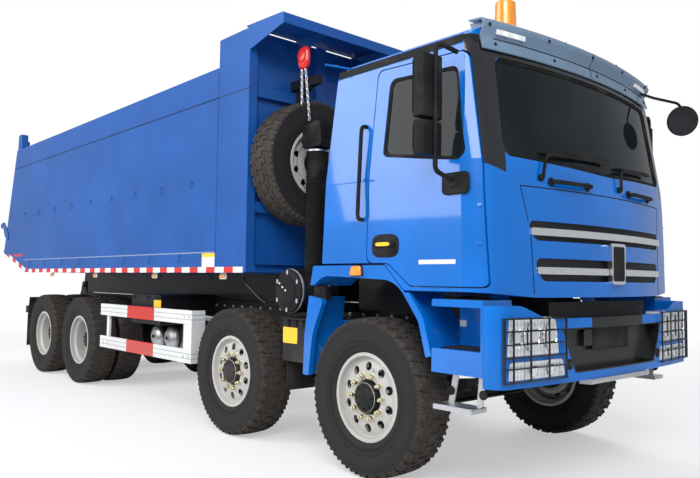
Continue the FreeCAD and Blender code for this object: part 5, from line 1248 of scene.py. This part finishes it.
def visor_trim():
    """Bolts in two rows, the seam in the middle, a white lamp strip each side and the fold."""
    visor = body_of("sun_visor")
    rows = [(CAB_FRONT, y, 2.925) for y in (-1.06, -0.525, -0.008, 0.462, 0.98)]
    rows += [(CAB_FRONT, y, 2.815) for y in (-0.991, -0.441, 0.089, 0.571, 1.03)]
    spots = laid(rows, "sun_visor", "X", -0.001)
    bolts = scattered(round_bolt(0.013, 0.008), spots, FRONT)
    piece("visor_bolts", bolts, "black_plastic", visor)
    seam = laid([(BUMPER_FRONT, 0.0, z) for z in np.linspace(2.785, 2.955, 14)], "sun_visor", "X", 0.0005)
    seam = carried(seam, rounded(0.006, 0.003, 0.001, 2), up=AHEAD)
    piece("visor_seam", seam, "black_rubber", visor)
    z = 2.8995
    lamp = laid(divided(((CAB_FRONT, -0.994, z), (CAB_FRONT, -0.748, z)), 0.03), "sun_visor", "X")
    lamp = carried(lamp, rounded(0.045, 0.012, 0.005, 4), up=AHEAD)
    piece("visor_lamps", both(lamp), "white_lens", visor)
    z = 2.853
    fold = laid(divided(((CAB_FRONT, -1.0, z), (CAB_FRONT, 1.0, z)), 0.05), "sun_visor", "X")
    fold = carried(fold, rounded(0.008, 0.004, 0.0015, 2), up=AHEAD)
    piece("visor_fold", fold, "black_rubber", visor)


def blank_plates():
    """Blank badge plate on the grille, and the blank number plate with its holder."""
    bumper = body_of("front_bumper")
    x = laid([(BUMPER_FRONT, 0.0, BADGE_Z)], "grille_bars", "X")[0][0]
    inset = placed(slab(rounded(0.148, 0.235, 0.016, 4), 0.003, 0.001), (x, 0.0, BADGE_Z), FRONT)
    piece("badge_inset", inset, "grey_trim", body_of("cab_shell"))
    plate = placed(slab(rounded(0.46, 0.14, 0.012, 4), 0.004, 0.0015), (1.131, 0, PLATE_Z), FRONT)
    piece("number_plate", plate, "grey_trim", bumper)
    rim = placed(slab(rounded(0.49, 0.17, 0.016, 4), 0.003, 0.001), (1.129, 0, PLATE_Z), FRONT)
    piece("number_plate_holder", rim, "black_plastic", bumper)


def lamp_bowls():
    bowls = []
    for y, z, radius in BOWLS:
        outline = ((radius, 0.0), (radius, 0.003), (radius * 0.92, 0.0035), (radius * 0.9, 0.0015))
        bowl = turned(outline, 28)
        for sign in (-1, 1):
            x = laid([(BUMPER_FRONT, sign * y, z)], "lamps", "X")[0][0]
            bowls.append(placed(bowl, (x + 0.007, sign * y, z), FRONT))
    piece("lamp_bowls", joined(*bowls), "chrome", body_of("front_bumper"))


def guard_knobs():
    """Rubber knobs where the wires of the lamp guards cross; x follows the bumper's bow."""
    knobs = []
    for y in (0.66, 0.83, 1.0, 1.15):
        for z in (0.76, 0.9, 1.05, 1.122):
            knobs.append((1.206 - 0.062 * (y / 1.14) ** 2, y, z))
    ball = turned(((0.003, -0.007), (0.007, -0.004), (0.008, 0), (0.007, 0.004), (0.003, 0.007)), 8)
    piece("guard_knobs", both(scattered(ball, knobs)), "black_rubber", body_of("lamp_guards"))


def front_linings():
    """Black panels beside the engine over the first axle, liners that also stand for the shade behind the
    front wheel arches, and the screen before the radiator.
    """
    steel = body_of("chassis_frame")
    # Black panels: arch liners, and painted shade seen through the front wheel arches
    well = strip_along(-0.62, 0.42, 1.10, 1.39, -0.72, 0.006, 0.03)
    piece("wheel_well_shade_panels", both(well), "black_plastic", steel)
    core = placed(slab(rounded(1.28, 0.21, 0.01, 3), 0.01, 0.002), (1.05, 0, 1.105), FRONT)
    piece("radiator_screen", core, "grille_screen", steel)


def tow_covers():
    covers = []
    cover = turned(((0.034, 0), (0.034, 0.004), (0.028, 0.006), (0.024, 0.002)), 24)
    for y in (-0.6, 0.6):
        x = laid([(BUMPER_FRONT, y, 0.83)], "front_bumper", "X")[0][0]
        covers.append(placed(cover, (x - 0.001, y, 0.83), FRONT))
    piece("tow_covers", joined(*covers), "black_plastic", body_of("front_bumper"))


class TruckFront(bpy.types.Operator):
    """Grille screens, wipers, visor trim, blank plates, lamp bowls and covers of the front"""
    bl_idname = "truck.front"
    bl_label = "Front fittings"

    def execute(self, context):
        grille_screens()
        wipers()
        visor_trim()
        blank_plates()
        lamp_bowls()
        guard_knobs()
        front_linings()
        tow_covers()
        return {"FINISHED"}


SIDE_MIRROR = (0.677, 1.41)                       # x and y of both panes
MIRROR_PANES = ((2.31, 2.69, 0.192), (2.085, 2.285, 0.184))    # bottom, top, width
FRONT_MIRROR = np.array((1.105, 1.278, 2.669))
FRONT_MIRROR_LOOKS = np.array((0.60, -0.75, -0.276))


class TruckMirrors(bpy.types.Operator):
    """Silvered glass with black rims on the mirrors"""
    bl_idname = "truck.mirrors"
    bl_label = "Mirror glass"

    def execute(self, context):
        x, y = SIDE_MIRROR
        for side, sign in SIDES:
            body = body_of(side + "_mirrors")
            panes = []
            rims = []
            for low, high, width in MIRROR_PANES:
                centre = (x, sign * y, (low + high) / 2)
                pane = slab(rounded(width - 0.03, high - low - 0.035, 0.03, 5), 0.004, 0.001)
                rim = slab(rounded(width - 0.01, high - low - 0.015, 0.036, 5), 0.003, 0.001)
                panes.append(placed(pane, centre, REAR))
                rims.append(placed(rim, centre, REAR))
            piece("mirror_panes_" + side, joined(*panes), "mirror_glass", body)
            piece("mirror_rims_" + side, joined(*rims), "black_rubber", body)
        outwards = FRONT_MIRROR_LOOKS / np.linalg.norm(FRONT_MIRROR_LOOKS)
        side = np.cross(outwards, (0, 0, 1))
        side /= np.linalg.norm(side)
        turn = np.stack((side, np.cross(side, outwards), outwards), -1)
        pane = turned(((0.114, 0), (0.114, 0.003), (0.08, 0.008), (0.03, 0.0105)), 36)
        pane = placed(pane, FRONT_MIRROR + outwards * 0.012, turn)
        piece("front_mirror_pane", pane, "mirror_glass", body_of("front_mirror"))
        return {"FINISHED"}


# ---- chassis gear -------------------------------------------------------------------------------
INTAKE = (-0.955, -0.9)       # x and y of the upright hose
INTAKE_RADIUS = 0.088
CLEANER = (-1.0, 1.24)        # x and z of the air cleaner's axis
TANK_Z = 0.68
HOOK_X = -1.09


def chain(start, end, wire):
    """Interlocked oval links from start to end: every second link is turned a quarter about the run."""
    start = np.array(start, float)
    end = np.array(end, float)
    run = end - start
    length = np.linalg.norm(run)
    count = max(2, int(length / (wire * 7)))
    ahead = run / length
    side = np.cross(ahead, (1.0, 0.2, 0))
    side /= np.linalg.norm(side)
    other = np.cross(ahead, side)
    oval = ring(1.0, 10) * (wire * 4.6, wire * 2.3)
    flat = np.concatenate((oval, np.zeros((10, 1))), 1)
    link = carried(flat, ring(wire, 5), True, up=(0, 0, 1))
    one = np.stack((ahead, side, other), -1)
    two = np.stack((ahead, other, -side), -1)
    marks = start + run * (np.arange(count)[:, None] + 0.5) / count
    return joined(scattered(link, marks[::2], one), scattered(link, marks[1::2], two))


def intake_hose():
    """Ribbed hose up the snorkel, and the louvres of its inlet."""
    intake = body_of("air_intake")
    ribs = [(*INTAKE, z) for z in np.linspace(1.34, 2.40, 54)]
    rib = turned(((0.088, -0.006), (0.094, -0.003), (0.094, 0.003), (0.088, 0.006)), 20)
    tube = carried(divided(((*INTAKE, 1.33), (*INTAKE, 2.41)), 0.2), ring(INTAKE_RADIUS, 20))
    piece("intake_hose", joined(tube, scattered(rib, ribs)), "black_rubber", intake)
    louvres = [(-0.925, -0.985, z) for z in np.linspace(2.46, 2.58, 6)]
    fin = slab(rounded(0.17, 0.008, 0.003, 3), 0.005, 0.002)
    piece("intake_louvres", scattered(fin, louvres, RIGHT), "black_plastic", intake)


def intake_clamps():
    """Band clamps with their screws on the hose, bands round the cleaner and clips on its lid."""
    x, z = CLEANER
    clamps = []
    band = turned(((0.095, -0.008), (0.097, -0.006), (0.097, 0.006), (0.095, 0.008)), 24)
    for height in (1.335, 2.39):
        clamps.append(placed(band, (*INTAKE, height)))
        clamps.append(placed(hex_bolt(0.006, 0.02), (INTAKE[0], -0.997, height), RIGHT))
    band = turned(((0.176, -0.01), (0.1785, -0.008), (0.1785, 0.008), (0.176, 0.01)), 40)
    for y in (-1.12, -0.86):
        clamps.append(placed(band, (x, y, z), WHEEL_Y_TURN))
    clip = slab(rounded(0.02, 0.034, 0.005, 3), 0.007, 0.002)
    for turn in np.radians((30, 90, 150, 210, 270, 330)):
        spot = (x + 0.15 * math.cos(turn), -1.153, z + 0.15 * math.sin(turn))
        clamps.append(placed(clip, spot, RIGHT))
    piece("intake_clamps", joined(*clamps), "zinc", body_of("air_intake"))


def cleaner_lid():
    """Stepped lid of the air cleaner, with three pale dots."""
    x, z = CLEANER
    intake = body_of("air_intake")
    lid = turned(((0.112, 0), (0.112, 0.004), (0.07, 0.007), (0.05, 0.003), (0.02, 0.003)), 36)
    piece("cleaner_cap", placed(lid, (x, -1.159, z), RIGHT), "black_plastic", intake)
    places = [(-1.09, -1.164, 1.3), (-1.05, -1.164, 1.27), (-1.01, -1.164, 1.245)]
    dots = scattered(turned(((0.009, 0), (0.009, 0.002), (0.007, 0.003)), 12), places, RIGHT)
    piece("cleaner_dots", dots, "label_white", intake)


def side_box_fittings():
    """Yellow plates and clips of the battery boxes, and the control box's label and latches."""
    steel = body_of("chassis_frame")
    plate = strip_along(-1.045, -0.86, 0.83, 0.955, -1.1502, 0.003, 0.01)
    piece("battery_plates", both(plate), "yellow_paint", steel)
    clip = slab(rounded(0.022, 0.07, 0.005, 3), 0.008, 0.002)
    clips = scattered(clip, [(x, -1.15, 0.99) for x in (-0.97, -0.88, -0.79)], RIGHT)
    piece("battery_clips", both(clips), "black_plastic", steel)
    label = strip_along(-3.455, -3.29, 1.02, 1.096, -1.0802, 0.002, 0.006)
    piece("control_label", label, "yellow_paint", steel)
    latch = slab(rounded(0.06, 0.03, 0.008, 4), 0.010, 0.003)
    latches = scattered(latch, [(x, -1.08, 1.12) for x in (-3.92, -3.6, -3.38)], RIGHT)
    piece("control_latches", latches, "black_plastic", steel)


def tank_bands():
    """Two bands round each air tank and the plug in its end."""
    bands = []
    plug = turned(((0.020, 0), (0.020, 0.004), (0.012, 0.006)), 12)
    band = turned(((0.1265, -0.018), (0.1285, -0.016), (0.1285, 0.016), (0.1265, 0.018)), 40)
    for x in (-3.50, -3.82):
        bands.append(placed(plug, (x, -0.899, TANK_Z), RIGHT))
        for y in (-0.8, -0.55):
            bands.append(placed(band, (x, y, TANK_Z), WHEEL_Y_TURN))
    piece("tank_bands", joined(*bands), "steel_paint", body_of("air_tanks"))


def frame_bolts():
    """Two rows of bolts along the frame's webs, and four pairs in the side guards."""
    rows = [(x, -0.43, z) for x in np.arange(-7.0, 0.8, 0.17) for z in (0.86, 1.04)]
    bolts = both(scattered(hex_bolt(0.011, 0.010), rows, RIGHT))
    piece("frame_bolts", bolts, "zinc", body_of("chassis_frame"))
    rows = [(x, -1.2502, z) for x in (-2.48, -2.39, -4.33, -4.23) for z in (0.60, 0.97)]
    bolts = both(scattered(round_bolt(0.012, 0.007), rows, RIGHT))
    piece("guard_bolts", bolts, "zinc", body_of("side_guards"))


def spare_hoist(wire):
    """Red hook block over the spare wheel, and its two chains."""
    bracket = body_of("spare_bracket")
    block = placed(slab(superoval(0.13, 0.19, 3.0), 0.05, 0.014), (HOOK_X, -0.925, 3.20), RIGHT)
    boss = placed(turned(((0.05, 0), (0.05, 0.01), (0.03, 0.014)), 24), (HOOK_X, -0.975, 3.215), RIGHT)
    piece("hook_block", joined(block, boss), "red_paint", bracket)
    runs = joined(chain((-1.12, -0.95, 3.11), (-1.11, -0.95, 2.80), wire),
                  chain((-1.07, -0.95, 3.11), (-1.03, -0.93, 2.66), wire))
    piece("hoist_chains", runs, "zinc", bracket)


def wing_stays():
    """Bent rods above the second axle's tyres, clear of them when they steer."""
    corners = ((-1.70, -1.10, 1.34), (-1.66, -1.12, 1.30), (-1.42, -1.12, 1.16), (-1.36, -1.10, 1.13))
    stay = carried(divided(bent(corners, 0.03), 0.03), ring(0.008, 8))
    piece("wing_stays", both(stay), "steel_paint", body_of("chassis_frame"))


class TruckGear(bpy.types.Operator):
    """Ribbed intake, its clamps, box fittings, tank bands, frame bolts, chains and hook block"""
    bl_idname = "truck.gear"
    bl_label = "Chassis gear"

    def execute(self, context):
        intake_hose()
        intake_clamps()
        cleaner_lid()
        side_box_fittings()
        tank_bands()
        frame_bolts()
        spare_hoist(context.scene.truck_sizes.chain)
        wing_stays()
        return {"FINISHED"}


# ---- steps --------------------------------------------------------------------------------------
class TruckSteps(bpy.types.Operator):
    """Studded pads on the cab steps, tread plate on the alloy steps and their mounts"""
    bl_idname = "truck.steps"
    bl_label = "Steps"

    def execute(self, context):
        cab = body_of("cab_steps")
        pad = slab(rounded(0.33, 0.2, 0.02, 4), 0.004, 0.0015)
        stud = turned(((0.011, 0), (0.009, 0.004), (0.006, 0.0045)), 8)
        pads = []
        spots = [(x, y, 0.002) for x in np.arange(0.66, 0.95, 0.04) for y in np.arange(-1.18, -1.01, 0.04)]
        studs = scattered(stud, spots)
        for z in (0.926, 1.226):
            pads.append(placed(pad, (0.80, -1.10, z - 0.0005)))
            pads.append(placed(studs, (0, 0, z)))
        piece("step_pads", both(joined(*pads)), "black_plastic", cab)
        square = placed(slab(rounded(0.055, 0.04, 0.004, 3), 0.002, 0.0006), (0.64, -0.9722, 1.066), RIGHT)
        piece("well_label", both(square), "label_white", cab)
        alloy = body_of("alloy_steps")
        side = placed(slab(rounded(0.285, 0.135, 0.012, 4), 0.003, 0.001), (0.7775, -1.1775, 0.5885))
        front = placed(slab(rounded(0.08, 0.76, 0.012, 4), 0.003, 0.001), (1.163, 0, 0.7205))
        piece("step_treads", joined(both(side), front), "tread_plate", alloy)
        mount = turned(((0.026, 0), (0.028, 0.004), (0.028, 0.016), (0.020, 0.020)), 20)
        mounts = scattered(mount, [(x, -1.112, z) for x in (0.668, 0.913) for z in (0.79, 0.66)], RIGHT)
        piece("step_mounts", both(mounts), "black_rubber", alloy)
        return {"FINISHED"}


# ---- stage --------------------------------------------------------------------------------------
MIDDLE_X = -3.6             # the truck's middle, from the first axle
FLOOR_SIDES = 96
LAMPS = (                   # name, place, what it is aimed at, size and power
    ("key", (7.0, -8.0, 8.0), (-1.0, 0.0, 1.4), 6.0, 1150.0),
    ("side", (-6.0, -9.0, 6.0), (-4.0, 0.0, 1.8), 7.0, 800.0),
    ("back", (-8.0, 8.0, 8.0), (-3.0, 0.0, 2.0), 7.0, 700.0))
LENS = 35.795
LENS_SHIFT = (-0.0076, -0.0021)


def floor_finish():
    """Pale floor that fades to white with distance, for what is seen directly."""
    finish = Finish("floor", Roughness=0.85, Specular_IOR_Level=0.2)
    tone = finish.noise(0.6, 4)
    finish.feed(Base_Color=finish.blend(tone, (0.86, 0.86, 0.855), (0.9, 0.9, 0.895)))
    finish.relief(finish.noise(40, 4), 0.001, 0.2)
    ahead = finish.along("X") - MIDDLE_X
    aside = finish.along("Y")
    reach = (ahead * ahead + aside * aside) ** 0.5
    veil = finish.node("ShaderNodeLightPath") * (0.45 + 0.55 * reach.rise(5.5, 13.0))
    glow = finish.node("ShaderNodeEmission", None, {"Color": (1, 1, 1, 1)})
    plain = Value(finish, finish.shader.outputs[0])
    mixed = finish.node("ShaderNodeMixShader", None, {0: veil, 1: plain, 2: glow})
    finish.tree.links.new(mixed.socket, finish.tree.nodes["Material Output"].inputs[0])


def floor(scene):
    """A wide disc made of rings of quads, facing up."""
    circle = ring(1.0, FLOOR_SIDES)
    radii = np.array((0.001, 6.0, 14.0, 40.0, 120.0))
    flat = radii[:, None, None] * circle + (AXLE_1 + MIDDLE_X, 0)
    points, faces = skin(np.concatenate((flat, np.zeros((len(radii), FLOOR_SIDES, 1))), -1), True)
    mesh = bpy.data.meshes.new("floor")
    mesh.from_pydata(points.tolist(), [], faces[:FLOOR_SIDES * (len(radii) - 1)])
    mesh.materials.append(FINISHES["floor"])
    ground = bpy.data.objects.new("floor", mesh)
    scene.collection.objects.link(ground)
    if mesh.polygons[0].normal.z < 0:
        mesh.flip_normals()


def surround(scene):
    """White to look at; a dimmer, cooler white lights the truck."""
    world = bpy.data.worlds.new("surround")
    scene.world = world
    world.use_nodes = True
    tree = world.node_tree
    tree.nodes.clear()
    path = tree.nodes.new("ShaderNodeLightPath")
    seen = tree.nodes.new("ShaderNodeMath")
    seen.operation = "MAXIMUM"
    tree.links.new(path.outputs["Is Camera Ray"], seen.inputs[0])
    tree.links.new(path.outputs["Is Transmission Ray"], seen.inputs[1])
    ambient = tree.nodes.new("ShaderNodeBackground")
    ambient.inputs["Color"].default_value = (0.93, 0.96, 1.0, 1)
    ambient.inputs["Strength"].default_value = 0.5
    white = tree.nodes.new("ShaderNodeBackground")
    white.inputs["Color"].default_value = (1, 1, 1, 1)
    mixed = tree.nodes.new("ShaderNodeMixShader")
    out = tree.nodes.new("ShaderNodeOutputWorld")
    for source, target, number in ((seen, mixed, 0), (ambient, mixed, 1), (white, mixed, 2), (mixed, out, 0)):
        tree.links.new(source.outputs[0], target.inputs[number])


def looking(toward, place, roll=0.0):
    """Matrix of a lamp or camera at a place, looking along a direction and leaning by roll."""
    toward = np.array(toward, float) / np.linalg.norm(toward)
    right = np.cross(toward, (0, 0, 1))
    right /= np.linalg.norm(right)
    up = np.cross(right, toward)
    across = right * math.cos(roll) + up * math.sin(roll)
    above = up * math.cos(roll) - right * math.sin(roll)
    matrix = Matrix.Identity(4)
    for column, direction in enumerate((across, above, -toward, np.array(place, float) + (AXLE_1, 0, 0))):
        for row in range(3):
            matrix[row][column] = direction[row]
    return matrix


def lamps(scene):
    for name, place, aim, size, power in LAMPS:
        lamp = bpy.data.lights.new(name, "AREA")
        lamp.size = size
        lamp.energy = power
        holder = bpy.data.objects.new(name, lamp)
        scene.collection.objects.link(holder)
        holder.matrix_world = looking(np.subtract(aim, place), place)


def camera(scene):
    sizes = scene.truck_sizes
    data = bpy.data.cameras.new("camera")
    data.sensor_width = 36.0
    data.lens = LENS
    data.shift_x, data.shift_y = LENS_SHIFT
    holder = bpy.data.objects.new("camera", data)
    scene.collection.objects.link(holder)
    level = math.cos(sizes.pitch)
    toward = (-math.cos(sizes.heading) * level, math.sin(sizes.heading) * level, math.sin(sizes.pitch))
    holder.matrix_world = looking(toward, sizes.camera, sizes.roll)
    scene.camera = holder


class TruckStage(bpy.types.Operator):
    """Pale floor, white surround, soft lamps and the camera"""
    bl_idname = "truck.stage"
    bl_label = "Stage"

    def execute(self, context):
        scene = context.scene
        floor_finish()
        floor(scene)
        surround(scene)
        lamps(scene)
        camera(scene)
        scene.view_settings.view_transform = "Standard"
        return {"FINISHED"}


OPERATORS = (TruckFinishes, TruckTyres, TruckWheels, TruckBedTrim, TruckCabTrim, TruckFront, TruckMirrors,
             TruckGear, TruckSteps, TruckStage)


class TruckPanel(bpy.types.Panel):
    """Lists the truck's sizes, colours and makers"""
    bl_idname = "VIEW3D_PT_truck"
    bl_label = "Dump Truck"
    bl_space_type = "VIEW_3D"
    bl_region_type = "UI"
    bl_category = "Dump Truck"

    def draw(self, context):
        for group in (context.scene.truck_sizes, context.scene.truck_colours):
            box = self.layout.box()
            for name in group.__annotations__:
                box.prop(group, name)
        for operator in OPERATORS:
            self.layout.operator(operator.bl_idname)


CLASSES = (TruckSizes, TruckColours, *OPERATORS, TruckPanel)


def register():
    for entry in CLASSES:
        bpy.utils.register_class(entry)
    bpy.types.Scene.truck_sizes = bpy.props.PointerProperty(type=TruckSizes)
    bpy.types.Scene.truck_colours = bpy.props.PointerProperty(type=TruckColours)


def unregister():
    del bpy.types.Scene.truck_colours
    del bpy.types.Scene.truck_sizes
    for entry in reversed(CLASSES):
        bpy.utils.unregister_class(entry)


def main():
    """Makes the truck's finishes and fittings in order."""
    register()
    for operator in OPERATORS:
        group, name = operator.bl_idname.split(".")
        getattr(getattr(bpy.ops, group), name)()


if __name__ == "__main__":
    main()
